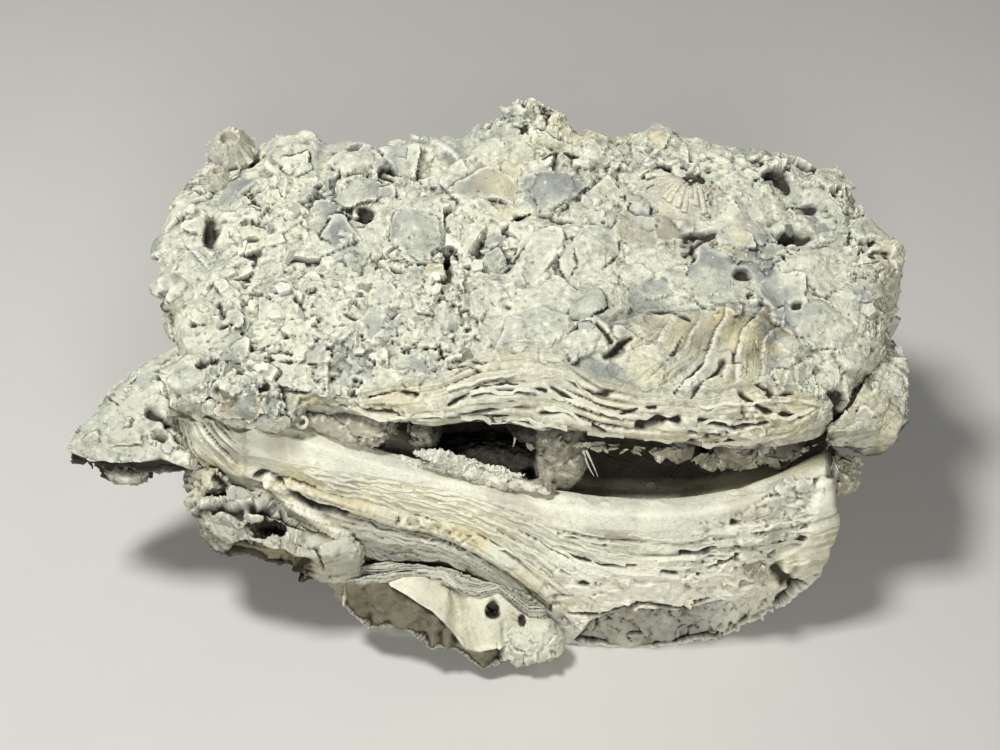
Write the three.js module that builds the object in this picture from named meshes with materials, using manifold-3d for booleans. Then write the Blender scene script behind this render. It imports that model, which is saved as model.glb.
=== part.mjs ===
// Fossil oyster cluster: two thick valves of a large oyster with smaller shells cemented to them.
// Millimetres, +X to the right of the gaping side, +Y away from it, +Z up.
// The cluster lies on the flat worn underside of its lower valve, at Z = 0.
import * as THREE from "three";
import { mergeVertices } from "three/addons/utils/BufferGeometryUtils.js";
import Module from "manifold-3d";

const wasm = await Module();
wasm.setup();

// Driving dimensions
const BED_GAP = 0.4; // clear space where one cemented piece meets another
const SMALLEST_EDGE = 0.02; // splinters finer than this are left out of every cut
const SEED = 7;
const GAPE_LEFT = -51; // the opening between the valves, from its left end
const GAPE_RIGHT = 77; // to its right end
const GAPE_BACK = 2; // how far back the opening reaches
const GAPE_FRONT = -46;
const FLOOR_DROP = 9; // how far the floor falls behind the rim
const ROOF_RISE = 3;
const EDGE_TRIM = 1.5; // how much the opening trims off each lip
const GROUND_CUT = 60; // size of the block that trims the worn underside

// Heights and depths along X, as [x, value] points
const LIP_Z = [[-80, 62], [-46, 56.2], [-23, 51.6], [9, 50.4], [34, 47.4], [57, 47.3], [72, 50.3], [92, 56]];
const LIP_Y = [[-80, -18], [-60, -25], [-46, -25], [0, -27], [34, -30], [60, -31], [75, -25], [92, -12]];
const RIM_Z = [[-80, 58], [-60, 56], [-46, 52], [-23, 47], [0, 42.5], [23, 39.5], [46, 39.5], [69, 43], [88, 47]];
const RIM_Y = [[-80, -20], [-60, -27], [-34, -31], [0, -36], [34, -39], [58, -38], [76, -32], [88, -22]];
const SKIRT_Z = [[-76, 44], [-61, 34], [-47, 25], [-35, 17], [-12, 10], [0, 3], [12, -3], [48, -3], [60, 3], [72, 9], [88, 22]];
const SKIRT_Y = [[-76, -20], [-47, -34], [-24, -38], [0, -43], [24, -48], [40, -48], [60, -42], [76, -36], [88, -24]];
const BACK_Y = [[-82, 34], [-72, 47], [-50, 50], [-44, 46], [-17, 45], [6, 49], [26, 47], [40, 50], [55, 45], [68, 48], [80, 43], [92, 32]];
const CRUST_LEFT = [[-25, -71], [-13, -75], [0, -79], [8, -79], [20, -81], [30, -79], [40, -75], [50, -71]];
const CRUST_RIGHT = [[-25, 80], [-13, 89], [-2, 90], [6, 91], [12, 96], [22, 97], [30, 94], [40, 89], [50, 79]];
const LOWER_LEFT = [[-30, -75], [-10, -76], [10, -76], [30, -72], [44, -64]];
const LOWER_RIGHT = [[-40, 73], [-30, 75], [-10, 78], [10, 80], [30, 78], [44, 70]];
const LEFT_PLATE_FRONT = [[-102, -22.5], [-93, -26.5], [-85, -28], [-72, -28]];
const LEFT_PLATE_BACK = [[-102, -20.5], [-98, -16], [-94, -11], [-87, -5], [-80, 0], [-72, 5]];
const FRILL_TOP = [[-37, 19], [-24, 22.5], [-14, 21.5], [-5, 19.5], [4, 17.5], [12, 12]];
const FRILL_FOOT = [[-37, 13], [-33, 10], [-21, 11.5], [-13, 9], [-6, 5], [0, 4.6], [12, 3]];
const FRILL_REACH = [[-37, 1], [-30, 4], [-20, 7.5], [-13, 9.5], [-6, 11], [1, 11], [12, 7]];

// A value read off a row of [position, value] points
function along(points, at) {
  if (at <= points[0][0]) return points[0][1];
  for (let i = 1; i < points.length; i++) {
    const [x0, v0] = points[i - 1];
    const [x1, v1] = points[i];
    if (at <= x1) return v0 + ((v1 - v0) * (at - x0)) / (x1 - x0);
  }
  return points[points.length - 1][1];
}

const mix = (from, to, share) => from + (to - from) * share;
const dome = (distance, radius) => Math.exp(-((distance / radius) ** 2));

function lattice(i, j, k) {
  const s = Math.sin(i * 127.1 + j * 311.7 + k * 74.7 + SEED * 19.3) * 43758.5453;
  return s - Math.floor(s);
}

// Smooth noise between -1 and 1 at a point, in lumps of the given size
function roughness(x, y, z, size) {
  const [px, py, pz] = [x / size, y / size, z / size];
  const [i, j, k] = [Math.floor(px), Math.floor(py), Math.floor(pz)];
  const ease = (t) => t * t * (3 - 2 * t);
  const [u, v, w] = [ease(px - i), ease(py - j), ease(pz - k)];
  const row = (dj, dk) => mix(lattice(i, j + dj, k + dk), lattice(i + 1, j + dj, k + dk), u);
  const sheet = (dk) => mix(row(0, dk), row(1, dk), v);
  return 2 * mix(sheet(0), sheet(1), w) - 1;
}

function weather(point, amount, size) {
  const { x, y, z } = point;
  point.x += amount * roughness(x + 50, y, z, size);
  point.y += amount * roughness(x, y + 90, z, size);
  point.z += amount * roughness(x, y, z + 130, size);
  return point;
}

// three.js geometry to a solid, and back
function solid(geometry) {
  const bare = geometry.clone();
  bare.deleteAttribute("normal");
  bare.deleteAttribute("uv");
  const merged = mergeVertices(bare, 1e-3);
  return new wasm.Manifold(
    new wasm.Mesh({
      numProp: 3,
      vertProperties: new Float32Array(merged.attributes.position.array),
      triVerts: new Uint32Array(merged.index.array),
      tolerance: SMALLEST_EDGE,
    }),
  );
}

function geometryOf(shape) {
  const mesh = shape.getMesh();
  const positions = new Float32Array(mesh.numVert * 3);
  for (let i = 0; i < mesh.numVert; i++) {
    const start = i * mesh.numProp;
    positions.set(mesh.vertProperties.subarray(start, start + 3), i * 3);
  }
  const geometry = new THREE.BufferGeometry();
  geometry.setAttribute("position", new THREE.BufferAttribute(positions, 3));
  geometry.setIndex(new THREE.BufferAttribute(new Uint32Array(mesh.triVerts), 1));
  return geometry;
}

// A block of the given divisions whose points are placed by a rule on its three directions, each -1 to 1
function sculpt([nx, ny, nz], place) {
  const geometry = new THREE.BoxGeometry(2, 2, 2, nx, ny, nz);
  const position = geometry.attributes.position;
  const point = new THREE.Vector3();
  for (let i = 0; i < position.count; i++) {
    point.fromBufferAttribute(position, i);
    place(point);
    position.setXYZ(i, point.x, point.y, point.z);
  }
  return solid(geometry);
}

// A rough lump: centre, radii, turn about Z and tilt about X in degrees, narrowing downwards by its taper
function lump(centre, radii, { turn = 0, tilt = 0, rough = 0.12, detail = 1, taper = 0 } = {}) {
  const geometry = new THREE.IcosahedronGeometry(1, detail);
  const position = geometry.attributes.position;
  const point = new THREE.Vector3();
  for (let i = 0; i < position.count; i++) {
    point.fromBufferAttribute(position, i);
    const swell = 1 + rough * roughness(point.x * 9 + centre[0], point.y * 9, point.z * 9 + centre[1], 5);
    const width = 1 + taper * point.z;
    point.multiply(new THREE.Vector3(width, width, 1));
    point.multiplyScalar(swell).multiply(new THREE.Vector3(...radii));
    position.setXYZ(i, point.x, point.y, point.z);
  }
  geometry.rotateX(THREE.MathUtils.degToRad(tilt));
  geometry.rotateZ(THREE.MathUtils.degToRad(turn));
  geometry.translate(...centre);
  return solid(geometry);
}

// A round hole or dark hollow. It comes in from above, or from the gaping side as its slope passes 90
function burrow([x, y, z], [rx, ry], depth, slope = 72) {
  const angle = THREE.MathUtils.degToRad(slope);
  const inside = depth / 2 - 3;
  const geometry = new THREE.CylinderGeometry(1, 0.55, depth + 6, 7);
  geometry.scale(rx, 1, ry);
  geometry.rotateX(angle);
  geometry.translate(x, y - inside * Math.cos(angle), z - inside * Math.sin(angle));
  return solid(geometry);
}

// The same shape grown outwards by the bed gap
function grown(shape, gap = BED_GAP) {
  const geometry = geometryOf(shape);
  geometry.computeVertexNormals();
  const position = geometry.attributes.position;
  const normal = geometry.attributes.normal;
  for (let i = 0; i < position.count; i++) {
    position.setXYZ(
      i,
      position.getX(i) + gap * normal.getX(i),
      position.getY(i) + gap * normal.getY(i),
      position.getZ(i) + gap * normal.getZ(i),
    );
  }
  return solid(geometry);
}

// A piece together with its grown shape, so that nothing of it is left uncut
const cleared = (shape) => shape.add(grown(shape));

const joined = (shapes) => shapes.reduce((whole, shape) => whole.add(shape));
const cutBy = (shape, cutters) => cutters.reduce((left, cutter) => left.subtract(cutter), shape);

// Where the two valves meet behind the opening
function seam(x, y) {
  const front = (along(LIP_Z, x) + along(RIM_Z, x)) / 2;
  return mix(front, 44 + 3 * Math.sin(x / 17), THREE.MathUtils.smoothstep(y, -30, 40));
}

// Lumps of rubble cemented on the crust
const CRUST_LUMPS = [
  // x, y, radius along x, along y, height over the crust, turn
  [-50, 44, 6, 6, 2.5, 0],
  [-36, 43, 9, 7, 4, 10],
  [-33, 34, 8, 6, 3, -15],
  [-21, 40, 8, 6, 4, 0],
  [9, 49, 9, 6, 11, 0],
  [2, 45, 8, 7, 6, 20],
  [21, 43, 8, 6, 3.5, 0],
  [38, 43, 8, 6, 2, 0],
  [68, 40, 9, 7, 3, 0],
  [84, 28, 7, 7, 3, 0],
  [91, 12, 5, 8, 3, 0],
  [-74, 18, 6, 9, 4, 0],
  [-77, 1, 6, 7, 4, 30],
  [-68, -8, 7, 5, 3, 10],
  [-60, 32, 6, 7, 3.5, 30],
  [-47, 22, 6, 5, 3, 0],
  [-38, 25, 7, 5, 4, 30],
  [-19, 17, 7, 8, 5, 10],
  [-30, 5, 8, 4, 3.5, -20],
  [-52, 0, 6, 5, 3.5, 15],
  [-13, -4, 4, 4, 3.5, 0],
  [-40, -14, 7, 4, 2.6, -10],
  [-2, 9, 5, 4, 4, 60],
  [-3, 32, 8, 5, 3.4, -8],
  [13, 29, 6, 5, 3, 0],
  [16, 13, 12, 8, 3, 10],
  [24, -2, 6, 4, 4.5, 25],
  [24, -12, 6, 5, 3.5, -30],
  [34, 27, 3.5, 3.5, 3.2, 0],
  [37, 5, 6, 4, 2.6, 0],
  [58, 24, 7, 6, 3.5, -20],
  [60, 12, 6, 5, 3, 0],
  [72, 8, 8, 5, 2.6, 0],
  [78, -2, 7, 6, 2.4, 20],
  [58, -13, 15, 3.5, 3, -42],
  [40, -15, 13, 4, 2.6, 48],
];

// Holes and dark hollows of the crust
const CRUST_HOLLOWS = [
  // x, y, radius along x, along y, depth
  [-67, 20, 1.7, 3.2, 6],
  [-33, 32, 3, 2, 4],
  [-26, 24, 2.1, 1.8, 9],
  [-24, 34, 4.2, 1.5, 5],
  [-13, 12, 1.6, 6, 5],
  [7, 22, 5.5, 1.5, 5],
  [66, 34, 3.4, 3, 7],
  [72, 26, 2.2, 2.2, 5],
  [68, 16, 4.2, 2, 9],
  [56, 10, 2, 2, 6],
  [25, -8, 4.5, 1.6, 5],
];

// Rubble that hangs over the rim of the lower valve, left of the opening: centre and radii
const RIM_RUBBLE = [
  [[-69, -20.5, 61], [10, 8, 8]],
  [[-60, -23.5, 59.5], [10, 7, 7]],
  [[-51, -26, 58], [9, 5, 4.5]],
];

// Top of the crust: it rises towards the back, is uneven and carries the cemented lumps
function crustTop(x, y) {
  const rise = 64.5 + (y + 25) * 0.265 - 3.5 * dome(x - 88, 22) - 2 * dome(x + 80, 16);
  const lumps = CRUST_LUMPS.map(([lx, ly, rx, ry, height, turn]) => {
    const angle = THREE.MathUtils.degToRad(turn);
    const across = ((x - lx) * Math.cos(angle) + (y - ly) * Math.sin(angle)) / rx;
    const up = ((y - ly) * Math.cos(angle) - (x - lx) * Math.sin(angle)) / ry;
    return height * Math.sqrt(Math.max(0, 1 - across * across - up * up));
  });
  return rise + Math.max(...lumps) + 1.4 * roughness(x, y, 0, 17) + 1.5 * roughness(x, y, 9, 8);
}

// The lens-shaped opening; its floor drops behind the rim. A positive margin makes it smaller
function gapeLens(margin) {
  const half = (GAPE_RIGHT - GAPE_LEFT) / 2 - margin;
  const middle = (GAPE_RIGHT + GAPE_LEFT) / 2;
  const floorShare = [0, 0, 0.15, 0.9, 1, 0.7, 0.1];
  return sculpt([12, 6, 2], (p) => {
    const [a, b, c] = [p.x, p.y, p.z];
    const x = middle + half * a;
    const rim = along(RIM_Y, x);
    const deep = Math.max(GAPE_BACK - 14 * Math.abs(a) ** 3, rim + 22) - margin;
    const row = Math.round(3 * (b + 1));
    const opening = (1 - Math.abs(a) ** 2.6) ** 0.7;
    const centre = (along(LIP_Z, x) + along(RIM_Z, x)) / 2;
    const mouth = (along(LIP_Z, x) - along(RIM_Z, x)) / 2 + 0.6;
    const inside = floorShare[row] * (c < 0 ? FLOOR_DROP : ROOF_RISE);
    const closing = row === 6 ? 0.5 : 1;
    p.x = x;
    p.y = [GAPE_FRONT - 6, rim, rim + 5, rim + 8, rim + 14, mix(rim + 14, deep, 0.6), deep][row];
    p.z = centre + c * (Math.max((mouth * closing + inside) * opening, 1) - margin);
    p.z += 0.5 * roughness(x, p.y, c, 9) * Math.max(opening - 0.1, 0);
  });
}

// Upper valve, with the crust of cemented rubble fused to it
function upperValveBlank() {
  return sculpt([27, 11, 4], (p) => {
    const [a, b, c] = [p.x, p.y, p.z];
    const nominal = mix(-28, 49, (b + 1) / 2);
    const x = mix(along(CRUST_LEFT, nominal), along(CRUST_RIGHT, nominal), (a + 1) / 2);
    const wall = Math.max(Math.abs(a) ** 10, Math.abs(b) ** 8);
    const front = along(LIP_Y, x) + 4 * Math.max(0, c) + 1.1 * Math.sin(c * 9) * (c < 0.6 ? 1 : 0);
    p.x = x + 1.5 * (1 - c * c) * a ** 5;
    p.y = mix(front, along(BACK_Y, x) + 3 * (1 - c * c), (b + 1) / 2);
    const top = crustTop(x, p.y) - 2.2 * wall;
    const bottom = b < -0.99 ? along(LIP_Z, x) - EDGE_TRIM : seam(x, p.y) + 0.3 + 1.2 * wall;
    p.z = mix(bottom, top, (c + 1) / 2);
    if (c > -0.99) weather(p, 1.1 * wall, 7);
  });
}

function upperValve() {
  const crest = lump([9, 45, 80.5], [12, 7, 7.4], { tilt: 12, rough: 0.3 });
  const spur = lump([-77, 2, 69], [5, 6, 4], { turn: 30, rough: 0.3 });
  const apron = RIM_RUBBLE.map(([centre, radii]) => lump(centre, radii, { rough: 0.3, detail: 0 }));
  const hollows = CRUST_HOLLOWS.map(([x, y, rx, ry, depth]) =>
    burrow([x, y, crustTop(x, y) + 1], [rx, ry], depth),
  );
  return cutBy(joined([upperValveBlank(), crest, spur, ...apron]), hollows);
}

// Lower valve: smooth inner rim, ledges sagging below it, worn flat underneath
function underside(x, y) {
  const front = along(SKIRT_Z, x);
  const back = 6 + 26 * Math.abs((x - 10) / 85) ** 2.2;
  const share = THREE.MathUtils.smoothstep(y, -45, 44);
  return mix(front, back, share) - 9 * dome(y - 2, 26) * dome(x - 12, 45);
}

function lowerValve() {
  const body = sculpt([22, 6, 8], (p) => {
    const [a, b, c] = [p.x, p.y, p.z];
    const nominal = mix(-30, 44, (b + 1) / 2);
    const x = mix(along(LOWER_LEFT, nominal), along(LOWER_RIGHT, nominal), (a + 1) / 2);
    const height = (c + 1) / 2;
    const bulge = Math.sin(Math.PI * height) * 3;
    const ledge = 1.2 * Math.abs(Math.sin(height * 16 + x / 40));
    const front = mix(along(SKIRT_Y, x), along(RIM_Y, x), height ** 0.8) - bulge - ledge;
    const back = along(BACK_Y, x) - 5 + 2 * Math.sin(Math.PI * height);
    const nearWall = Math.max(Math.abs(a) ** 8, Math.abs(b) ** 8);
    p.x = x + 2 * Math.sin(Math.PI * height) * a ** 5;
    p.y = mix(front, back, (b + 1) / 2);
    const top = b < -0.99 ? along(RIM_Z, x) + EDGE_TRIM : seam(x, p.y) - 0.3;
    p.z = mix(underside(x, p.y), top, height);
    if (c < 0.99 && b > -0.8) weather(p, 1.6 * nearWall, 9);
  });
  const flange = lump([73.4, -36, 28], [6, 3, 12.5], { turn: 14, rough: 0.3 });
  const ground = new THREE.BoxGeometry(400, 400, GROUND_CUT).translate(0, 0, -GROUND_CUT / 2);
  return body.add(flange).subtract(solid(ground));
}

// Hardened sediment at the back of the opening, with pillars and a low ridge on the lower rim
const PENDANTS = [
  // x, y, z, radii, taper
  [-35, -22, 51, [13, 8, 8.5], 0.1],
  [-17, -24, 50.5, [4.6, 7, 8.5], 0.5],
  [11, -23, 50, [11, 7, 4], 0.1],
  [14, -24.5, 42, [8, 8.5, 12], 0.25],
  [42, -22, 45, [5, 7, 7], 0.3],
  [55, -21, 43.5, [8, 8, 8], 0.3],
  [66, -18, 43, [9, 9, 8.5], 0.2],
];
const CEILING = [ // marl left under the roof, which the pendants hang from: centre and radii
  [[-24, -12, 53.5], [28, 13, 5]],
  [[10, -12, 53.5], [20, 13, 4.5]],
  [[46, -12, 48.5], [17, 13, 5]],
  [[62, -15, 46.5], [14, 10, 6]],
];
const RIM_CREST = [[-14, -30.8, 45.2], [-6.5, -32, 44], [1, -33.2, 42.4], [8, -34, 40.8]];

function gapeSediment() {
  const backWall = lump([14, 2, 46], [65, 10, 18], { rough: 0.2 });
  const sill = lump([-3, -21, 40], [17, 12, 4], { tilt: -22, detail: 0 });
  const floor = lump([-3, -10, 36], [14, 10, 5], { detail: 0 });
  const crest = RIM_CREST.map((centre) => lump(centre, [5.6, 3, 2.4], { rough: 0.5, detail: 0 }));
  const pendants = PENDANTS.map(([x, y, z, radii, taper]) => lump([x, y, z], radii, { taper, detail: 0 }));
  const ceiling = CEILING.map(([centre, radii]) => lump(centre, radii, { detail: 0 }));
  const marl = joined([backWall, sill, floor, ...crest, ...pendants, ...ceiling]);
  return marl.intersect(gapeLens(BED_GAP + 0.4));
}

// Smaller shells cemented round the large one
function leftShell() {
  const plate = sculpt([7, 5, 2], (p) => {
    const [a, b, c] = [p.x, p.y, p.z];
    p.x = mix(-102, -72, (a + 1) / 2);
    p.y = mix(along(LEFT_PLATE_FRONT, p.x), along(LEFT_PLATE_BACK, p.x), (b + 1) / 2);
    const edge = Math.max(Math.abs(b), -a) ** 4;
    const tip = 0.28 * Math.min(0, p.x + 88);
    p.z = 41.5 + 0.42 * (p.y + 27) + tip + c * mix(4.5, 1.6, edge);
    weather(p, 0.9, 8);
  });
  const core = lump([-82, -12, 42], [10, 9, 9], { rough: 0.3, detail: 0 });
  const lower = lump([-89, -18, 35], [9, 7, 5.5], { turn: 10, rough: 0.5 });
  const slit = burrow([-88, -9, 54], [2.6, 0.9], 6);
  const hollow = burrow([-79.5, -24, 50], [3.2, 2.2], 8, 100);
  return cutBy(joined([plate, core, lower]), [slit, hollow]);
}

function leftUnderShell() {
  const bowl = sculpt([10, 6, 2], (p) => {
    const [a, b, c] = [p.x, p.y, p.z];
    p.x = -52 + 22 * a * (1 - 0.15 * b * b);
    p.y = -18 + 25 * b * (1 - 0.18 * a * a) - 3 * a;
    const edge = Math.max(Math.abs(a), Math.abs(b)) ** 4;
    const level = 25 - 0.32 * (p.x + 52) - 2.5 * Math.sin(p.x / 4) * (b < -0.5 ? 1 : 0.4);
    p.z = level + c * 9 * (1 - 0.45 * edge) + 2 * edge;
    weather(p, 2, 7);
  });
  const flange = lump([-37, -36, 15], [5, 3, 9], { turn: 15, tilt: -18, rough: 0.3 });
  const corner = lump([-66, -24, 34], [9, 9, 9], { rough: 0.4, detail: 0 });
  const shelf = burrow([-66, -32, 36], [3.6, 1.8], 10, 130);
  const cave = burrow([-54, -38, 31], [5.6, 2.6], 12, 130);
  const cavity = burrow([-55, -40, 18], [9, 4.5], 14, 150);
  return cutBy(joined([bowl, flange, corner]), [shelf, cave, cavity]);
}

function frilledShell() {
  const sheet = sculpt([16, 4, 1], (p) => {
    const [a, b, c] = [p.x, p.y, p.z];
    const down = (1 - b) / 2;
    const x = mix(-37, 11, (a + 1) / 2);
    const frill = Math.sin(x / 2.1) * down ** 2;
    const valley = 2.6 * dome(x + 9, 2.4) * Math.sin(Math.PI * down);
    p.x = x;
    p.y = -44 - along(FRILL_REACH, x) * down ** 0.7 + 0.8 * frill + valley - 1.7 * c;
    p.z = mix(along(FRILL_TOP, x), along(FRILL_FOOT, x) + frill, down);
    weather(p, 0.5, 7);
  });
  const heel = lump([7.4, -50.4, 7], [7.4, 5.2, 6.4], { rough: 0.3 });
  const web = lump([-14, -40, 16], [20, 6, 8], { rough: 0.3, detail: 0 });
  const hole = burrow([-1.6, -50, 16.9], [2.3, 2.3], 12, 138);
  return cutBy(joined([sheet, heel, web]), [hole]);
}

function rightShell() {
  const plate = sculpt([4, 7, 2], (p) => {
    const [a, b, c] = [p.x, p.y, p.z];
    p.x = 84 + 12 * a * (1 - 0.3 * b * b);
    p.y = -6 + 20 * b;
    const edge = Math.max(Math.abs(a), Math.abs(b)) ** 3;
    p.z = 51 - 0.12 * (p.x - 84) + 0.1 * p.y + c * 6 * (1 - 0.5 * edge);
    weather(p, 1.4, 7);
  });
  const lower = lump([89.6, -8.3, 40.4], [8.6, 10, 8.4], { rough: 0.35 });
  const behind = lump([83.6, 9.3, 41.2], [10.2, 12.6, 10], { rough: 0.2, detail: 0 });
  const tab = lump([78, -28, 34], [3.6, 4, 8], { rough: 0.3 });
  return joined([plate, lower, behind, tab]);
}

// Small scallop: a low ribbed dome with its apex towards the back
function scallopShell() {
  const ribs = 11;
  const shape = sculpt([16, 3, 1], (p) => {
    const [a, b, c] = [p.x, p.y, p.z];
    const reach = (1 - b) / 2;
    const turn = a * 1.05 - 0.15;
    const radius = 12.5 * reach + 1.5;
    const rib = 0.45 * Math.cos(a * ribs * Math.PI) * reach;
    p.x = 47 + radius * Math.sin(turn);
    p.y = 33.5 - radius * Math.cos(turn);
    const rise = 3.4 * Math.sin(Math.PI * Math.min(reach * 0.8 + 0.12, 1)) * (1 - 0.35 * a * a);
    p.z = 80.2 + 0.265 * (p.y - 33) + rise + rib + (c < 0 ? -2.4 : 0);
  });
  return shape.subtract(burrow([46.4, 32.6, 82], [2, 1.8], 10));
}

// Barnacle: a ribbed cone with an opening at its top
function barnacle([x, y, z], radius, height, lean) {
  const outline = [[0, -2.5], [1, -2.5], [1.02, 0], [0.8, 0.45], [0.5, 1], [0.36, 0.98], [0.24, 0.5], [0, 0.4]];
  const points = outline.map(([r, h]) => new THREE.Vector2(r * radius, h > 0 ? h * height : h));
  const geometry = new THREE.LatheGeometry(points, 10);
  const position = geometry.attributes.position;
  for (let i = 0; i < position.count; i++) {
    const [px, py, pz] = [position.getX(i), position.getY(i), position.getZ(i)];
    const rib = 1 + 0.07 * Math.cos(5 * Math.atan2(pz, px));
    position.setXYZ(i, px * rib, py, pz * rib);
  }
  geometry.rotateX(THREE.MathUtils.degToRad(90 + lean));
  geometry.translate(x, y, z);
  return solid(geometry);
}

// The pieces are bedded into each other: each is cut by its neighbours, grown by the bed gap
function cluster() {
  const lens = gapeLens(0);
  const pieces = {};
  pieces.scallop_shell = scallopShell();
  pieces.barnacle_large = barnacle([-67, 45, 80.5], 6, 5, 16);
  pieces.barnacle_small = barnacle([-69, 35, 78.5], 3.4, 3.6, 14);
  pieces.upper_valve = cutBy(upperValve(), [
    lens,
    grown(pieces.scallop_shell),
    grown(pieces.barnacle_large),
    grown(pieces.barnacle_small),
  ]);
  pieces.lower_valve = lowerValve().subtract(lens).subtract(cleared(pieces.upper_valve));
  pieces.gape_sediment = gapeSediment();
  const valves = [cleared(pieces.upper_valve), cleared(pieces.lower_valve), lens];
  pieces.left_shell = cutBy(leftShell(), valves);
  pieces.right_shell = cutBy(rightShell(), valves);
  pieces.left_under_shell = cutBy(leftUnderShell(), [...valves, cleared(pieces.left_shell)]);
  pieces.frilled_shell = cutBy(frilledShell(), [...valves, cleared(pieces.left_under_shell)]);
  return pieces;
}

const LOOKS = {
  upper_valve: ["#c9c6b4", 0.95],
  lower_valve: ["#d8d3bd", 0.8],
  gape_sediment: ["#a9a28c", 1],
  left_shell: ["#c2c0b0", 0.95],
  left_under_shell: ["#c8c6b6", 0.9],
  frilled_shell: ["#cfccba", 0.9],
  right_shell: ["#bdbbac", 0.95],
  scallop_shell: ["#cbc6b0", 0.85],
  barnacle_large: ["#b9b9b0", 0.9],
  barnacle_small: ["#b4b4ab", 0.9],
};

// The largest body of a piece: crumbs left by the cuts aren't kept
function mainBody(shape) {
  return shape.decompose().reduce((best, body) => (body.volume() > best.volume() ? body : best));
}

function fossil() {
  const group = new THREE.Group();
  for (const [name, shape] of Object.entries(cluster())) {
    const [color, surface] = LOOKS[name];
    const material = new THREE.MeshStandardMaterial({ color, roughness: surface, metalness: 0 });
    const mesh = new THREE.Mesh(geometryOf(mainBody(shape)), material);
    mesh.name = name;
    group.add(mesh);
  }
  const box = new THREE.Box3().setFromObject(group);
  group.position.set(-(box.min.x + box.max.x) / 2, -(box.min.y + box.max.y) / 2, -box.min.z);
  return group;
}

const part = fossil();
export default part;
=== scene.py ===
"""Looks of the fossil oyster cluster: two thick chalky valves crusted over with smaller shells."""

import math

import bpy
import numpy as np
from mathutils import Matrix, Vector
from mathutils.kdtree import KDTree


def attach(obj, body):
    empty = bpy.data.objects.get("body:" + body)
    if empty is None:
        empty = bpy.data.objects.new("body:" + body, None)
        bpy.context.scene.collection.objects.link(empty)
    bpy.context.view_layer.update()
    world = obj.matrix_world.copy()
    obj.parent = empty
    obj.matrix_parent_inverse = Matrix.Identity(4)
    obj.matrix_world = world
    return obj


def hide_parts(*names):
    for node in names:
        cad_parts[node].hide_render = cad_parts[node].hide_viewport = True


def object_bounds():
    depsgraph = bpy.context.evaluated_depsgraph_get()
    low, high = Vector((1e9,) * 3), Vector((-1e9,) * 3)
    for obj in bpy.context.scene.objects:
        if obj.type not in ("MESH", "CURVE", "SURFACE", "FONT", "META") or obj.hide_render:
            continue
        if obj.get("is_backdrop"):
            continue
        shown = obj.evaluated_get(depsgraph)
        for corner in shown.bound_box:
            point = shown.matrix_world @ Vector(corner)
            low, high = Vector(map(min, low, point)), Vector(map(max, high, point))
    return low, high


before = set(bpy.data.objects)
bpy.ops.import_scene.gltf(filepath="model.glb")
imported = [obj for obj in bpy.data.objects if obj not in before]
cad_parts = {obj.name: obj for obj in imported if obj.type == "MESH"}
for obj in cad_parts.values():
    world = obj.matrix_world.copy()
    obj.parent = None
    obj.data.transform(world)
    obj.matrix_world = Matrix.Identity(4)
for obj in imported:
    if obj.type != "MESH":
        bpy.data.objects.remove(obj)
cad_low, cad_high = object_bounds()

MM = 0.001
SHIFT = np.array([1.71, 2.10, 0.0])  # from the large valve's own measuring point to the frame, in mm
RANDOM = np.random.default_rng(41)

# The photograph's view of the cluster, in mm from the measuring point and in pixels
LOOK_AT = np.array([0.0, -18.8, 62.5])
DISTANCE = 402.0
ELEVATION = math.radians(42)
FOCAL = 1756.0
TOWARD = np.array([0.0, -math.cos(ELEVATION), math.sin(ELEVATION)])

# Lines seen on the front, each a row of pixels of the photograph
RIM_EDGE = [(170, 425), (232, 424), (290, 434), (360, 447), (418, 461), (480, 478), (545, 497),
            (600, 505), (700, 505), (779, 490), (835, 478)]
BAND_EDGE = [(170, 440), (244, 457), (313, 466), (390, 480), (447, 489), (495, 503), (552, 520),
             (600, 528), (680, 530), (760, 520), (835, 500)]
OCHRE_EDGE = [(170, 452), (255, 470), (293, 481), (341, 497), (380, 508), (418, 517), (457, 526),
              (495, 545), (540, 575), (575, 606), (640, 650), (835, 640)]
DARK_EDGE = [(170, 462), (257, 482), (313, 505), (370, 521), (399, 532), (428, 536), (457, 546),
             (495, 568), (533, 592), (571, 624), (620, 668), (835, 690)]
LOW_EDGE = [(170, 480), (265, 510), (340, 545), (380, 560), (443, 560), (466, 568), (495, 585),
            (523, 614), (552, 645), (600, 700), (835, 740)]
TURN_EDGE = [(560, 660), (590, 621), (619, 610), (680, 613), (735, 600), (770, 590), (800, 578), (835, 560)]
FLANGE_EDGE = [(818, 470), (813, 498), (806, 524), (795, 542), (770, 556)]
LIP_TOP = [(290, 392), (345, 402), (370, 392), (400, 388), (440, 380), (480, 362), (520, 355),
           (560, 358), (600, 385), (640, 395), (700, 400), (760, 390), (830, 402)]
LIP_EDGE = [(293, 396), (310, 408), (340, 408), (401, 425), (486, 432), (540, 438), (620, 452),
            (671, 455), (719, 455), (753, 457), (788, 444), (808, 427), (829, 399)]
ROLLED_STRAND = [(268, 484), (293, 503), (322, 522), (347, 536)]
CRUMB_LINE = [(402, 457), (425, 460), (450, 464), (480, 473), (510, 480), (545, 491)]
RISING_TOP = [(690, 532), (740, 512), (790, 482), (825, 458)]
RISING_FOOT = [(690, 580), (740, 572), (790, 548), (825, 520)]
APRON_TOP = [(385, 582), (405, 577), (425, 576), (445, 580), (462, 595), (480, 599), (499, 593), (512, 604),
             (530, 618)]
APRON_EDGE = [(385, 583), (396, 589), (414, 600), (433, 612), (451, 630), (466, 649), (480, 652), (499, 648),
              (512, 640)]
CAVES = [
    ([(202, 511), (220, 508), (237, 513)], 5.5, 3.0),
    ([(254, 512), (280, 518), (304, 522)], 7.0, 3.2),
    ([(214, 478), (226, 486)], 4.0, 2.2),
    ([(203, 462), (212, 452)], 6.0, 2.5),
    ([(316, 548), (324, 570)], 3.0, 1.6),
]
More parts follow.
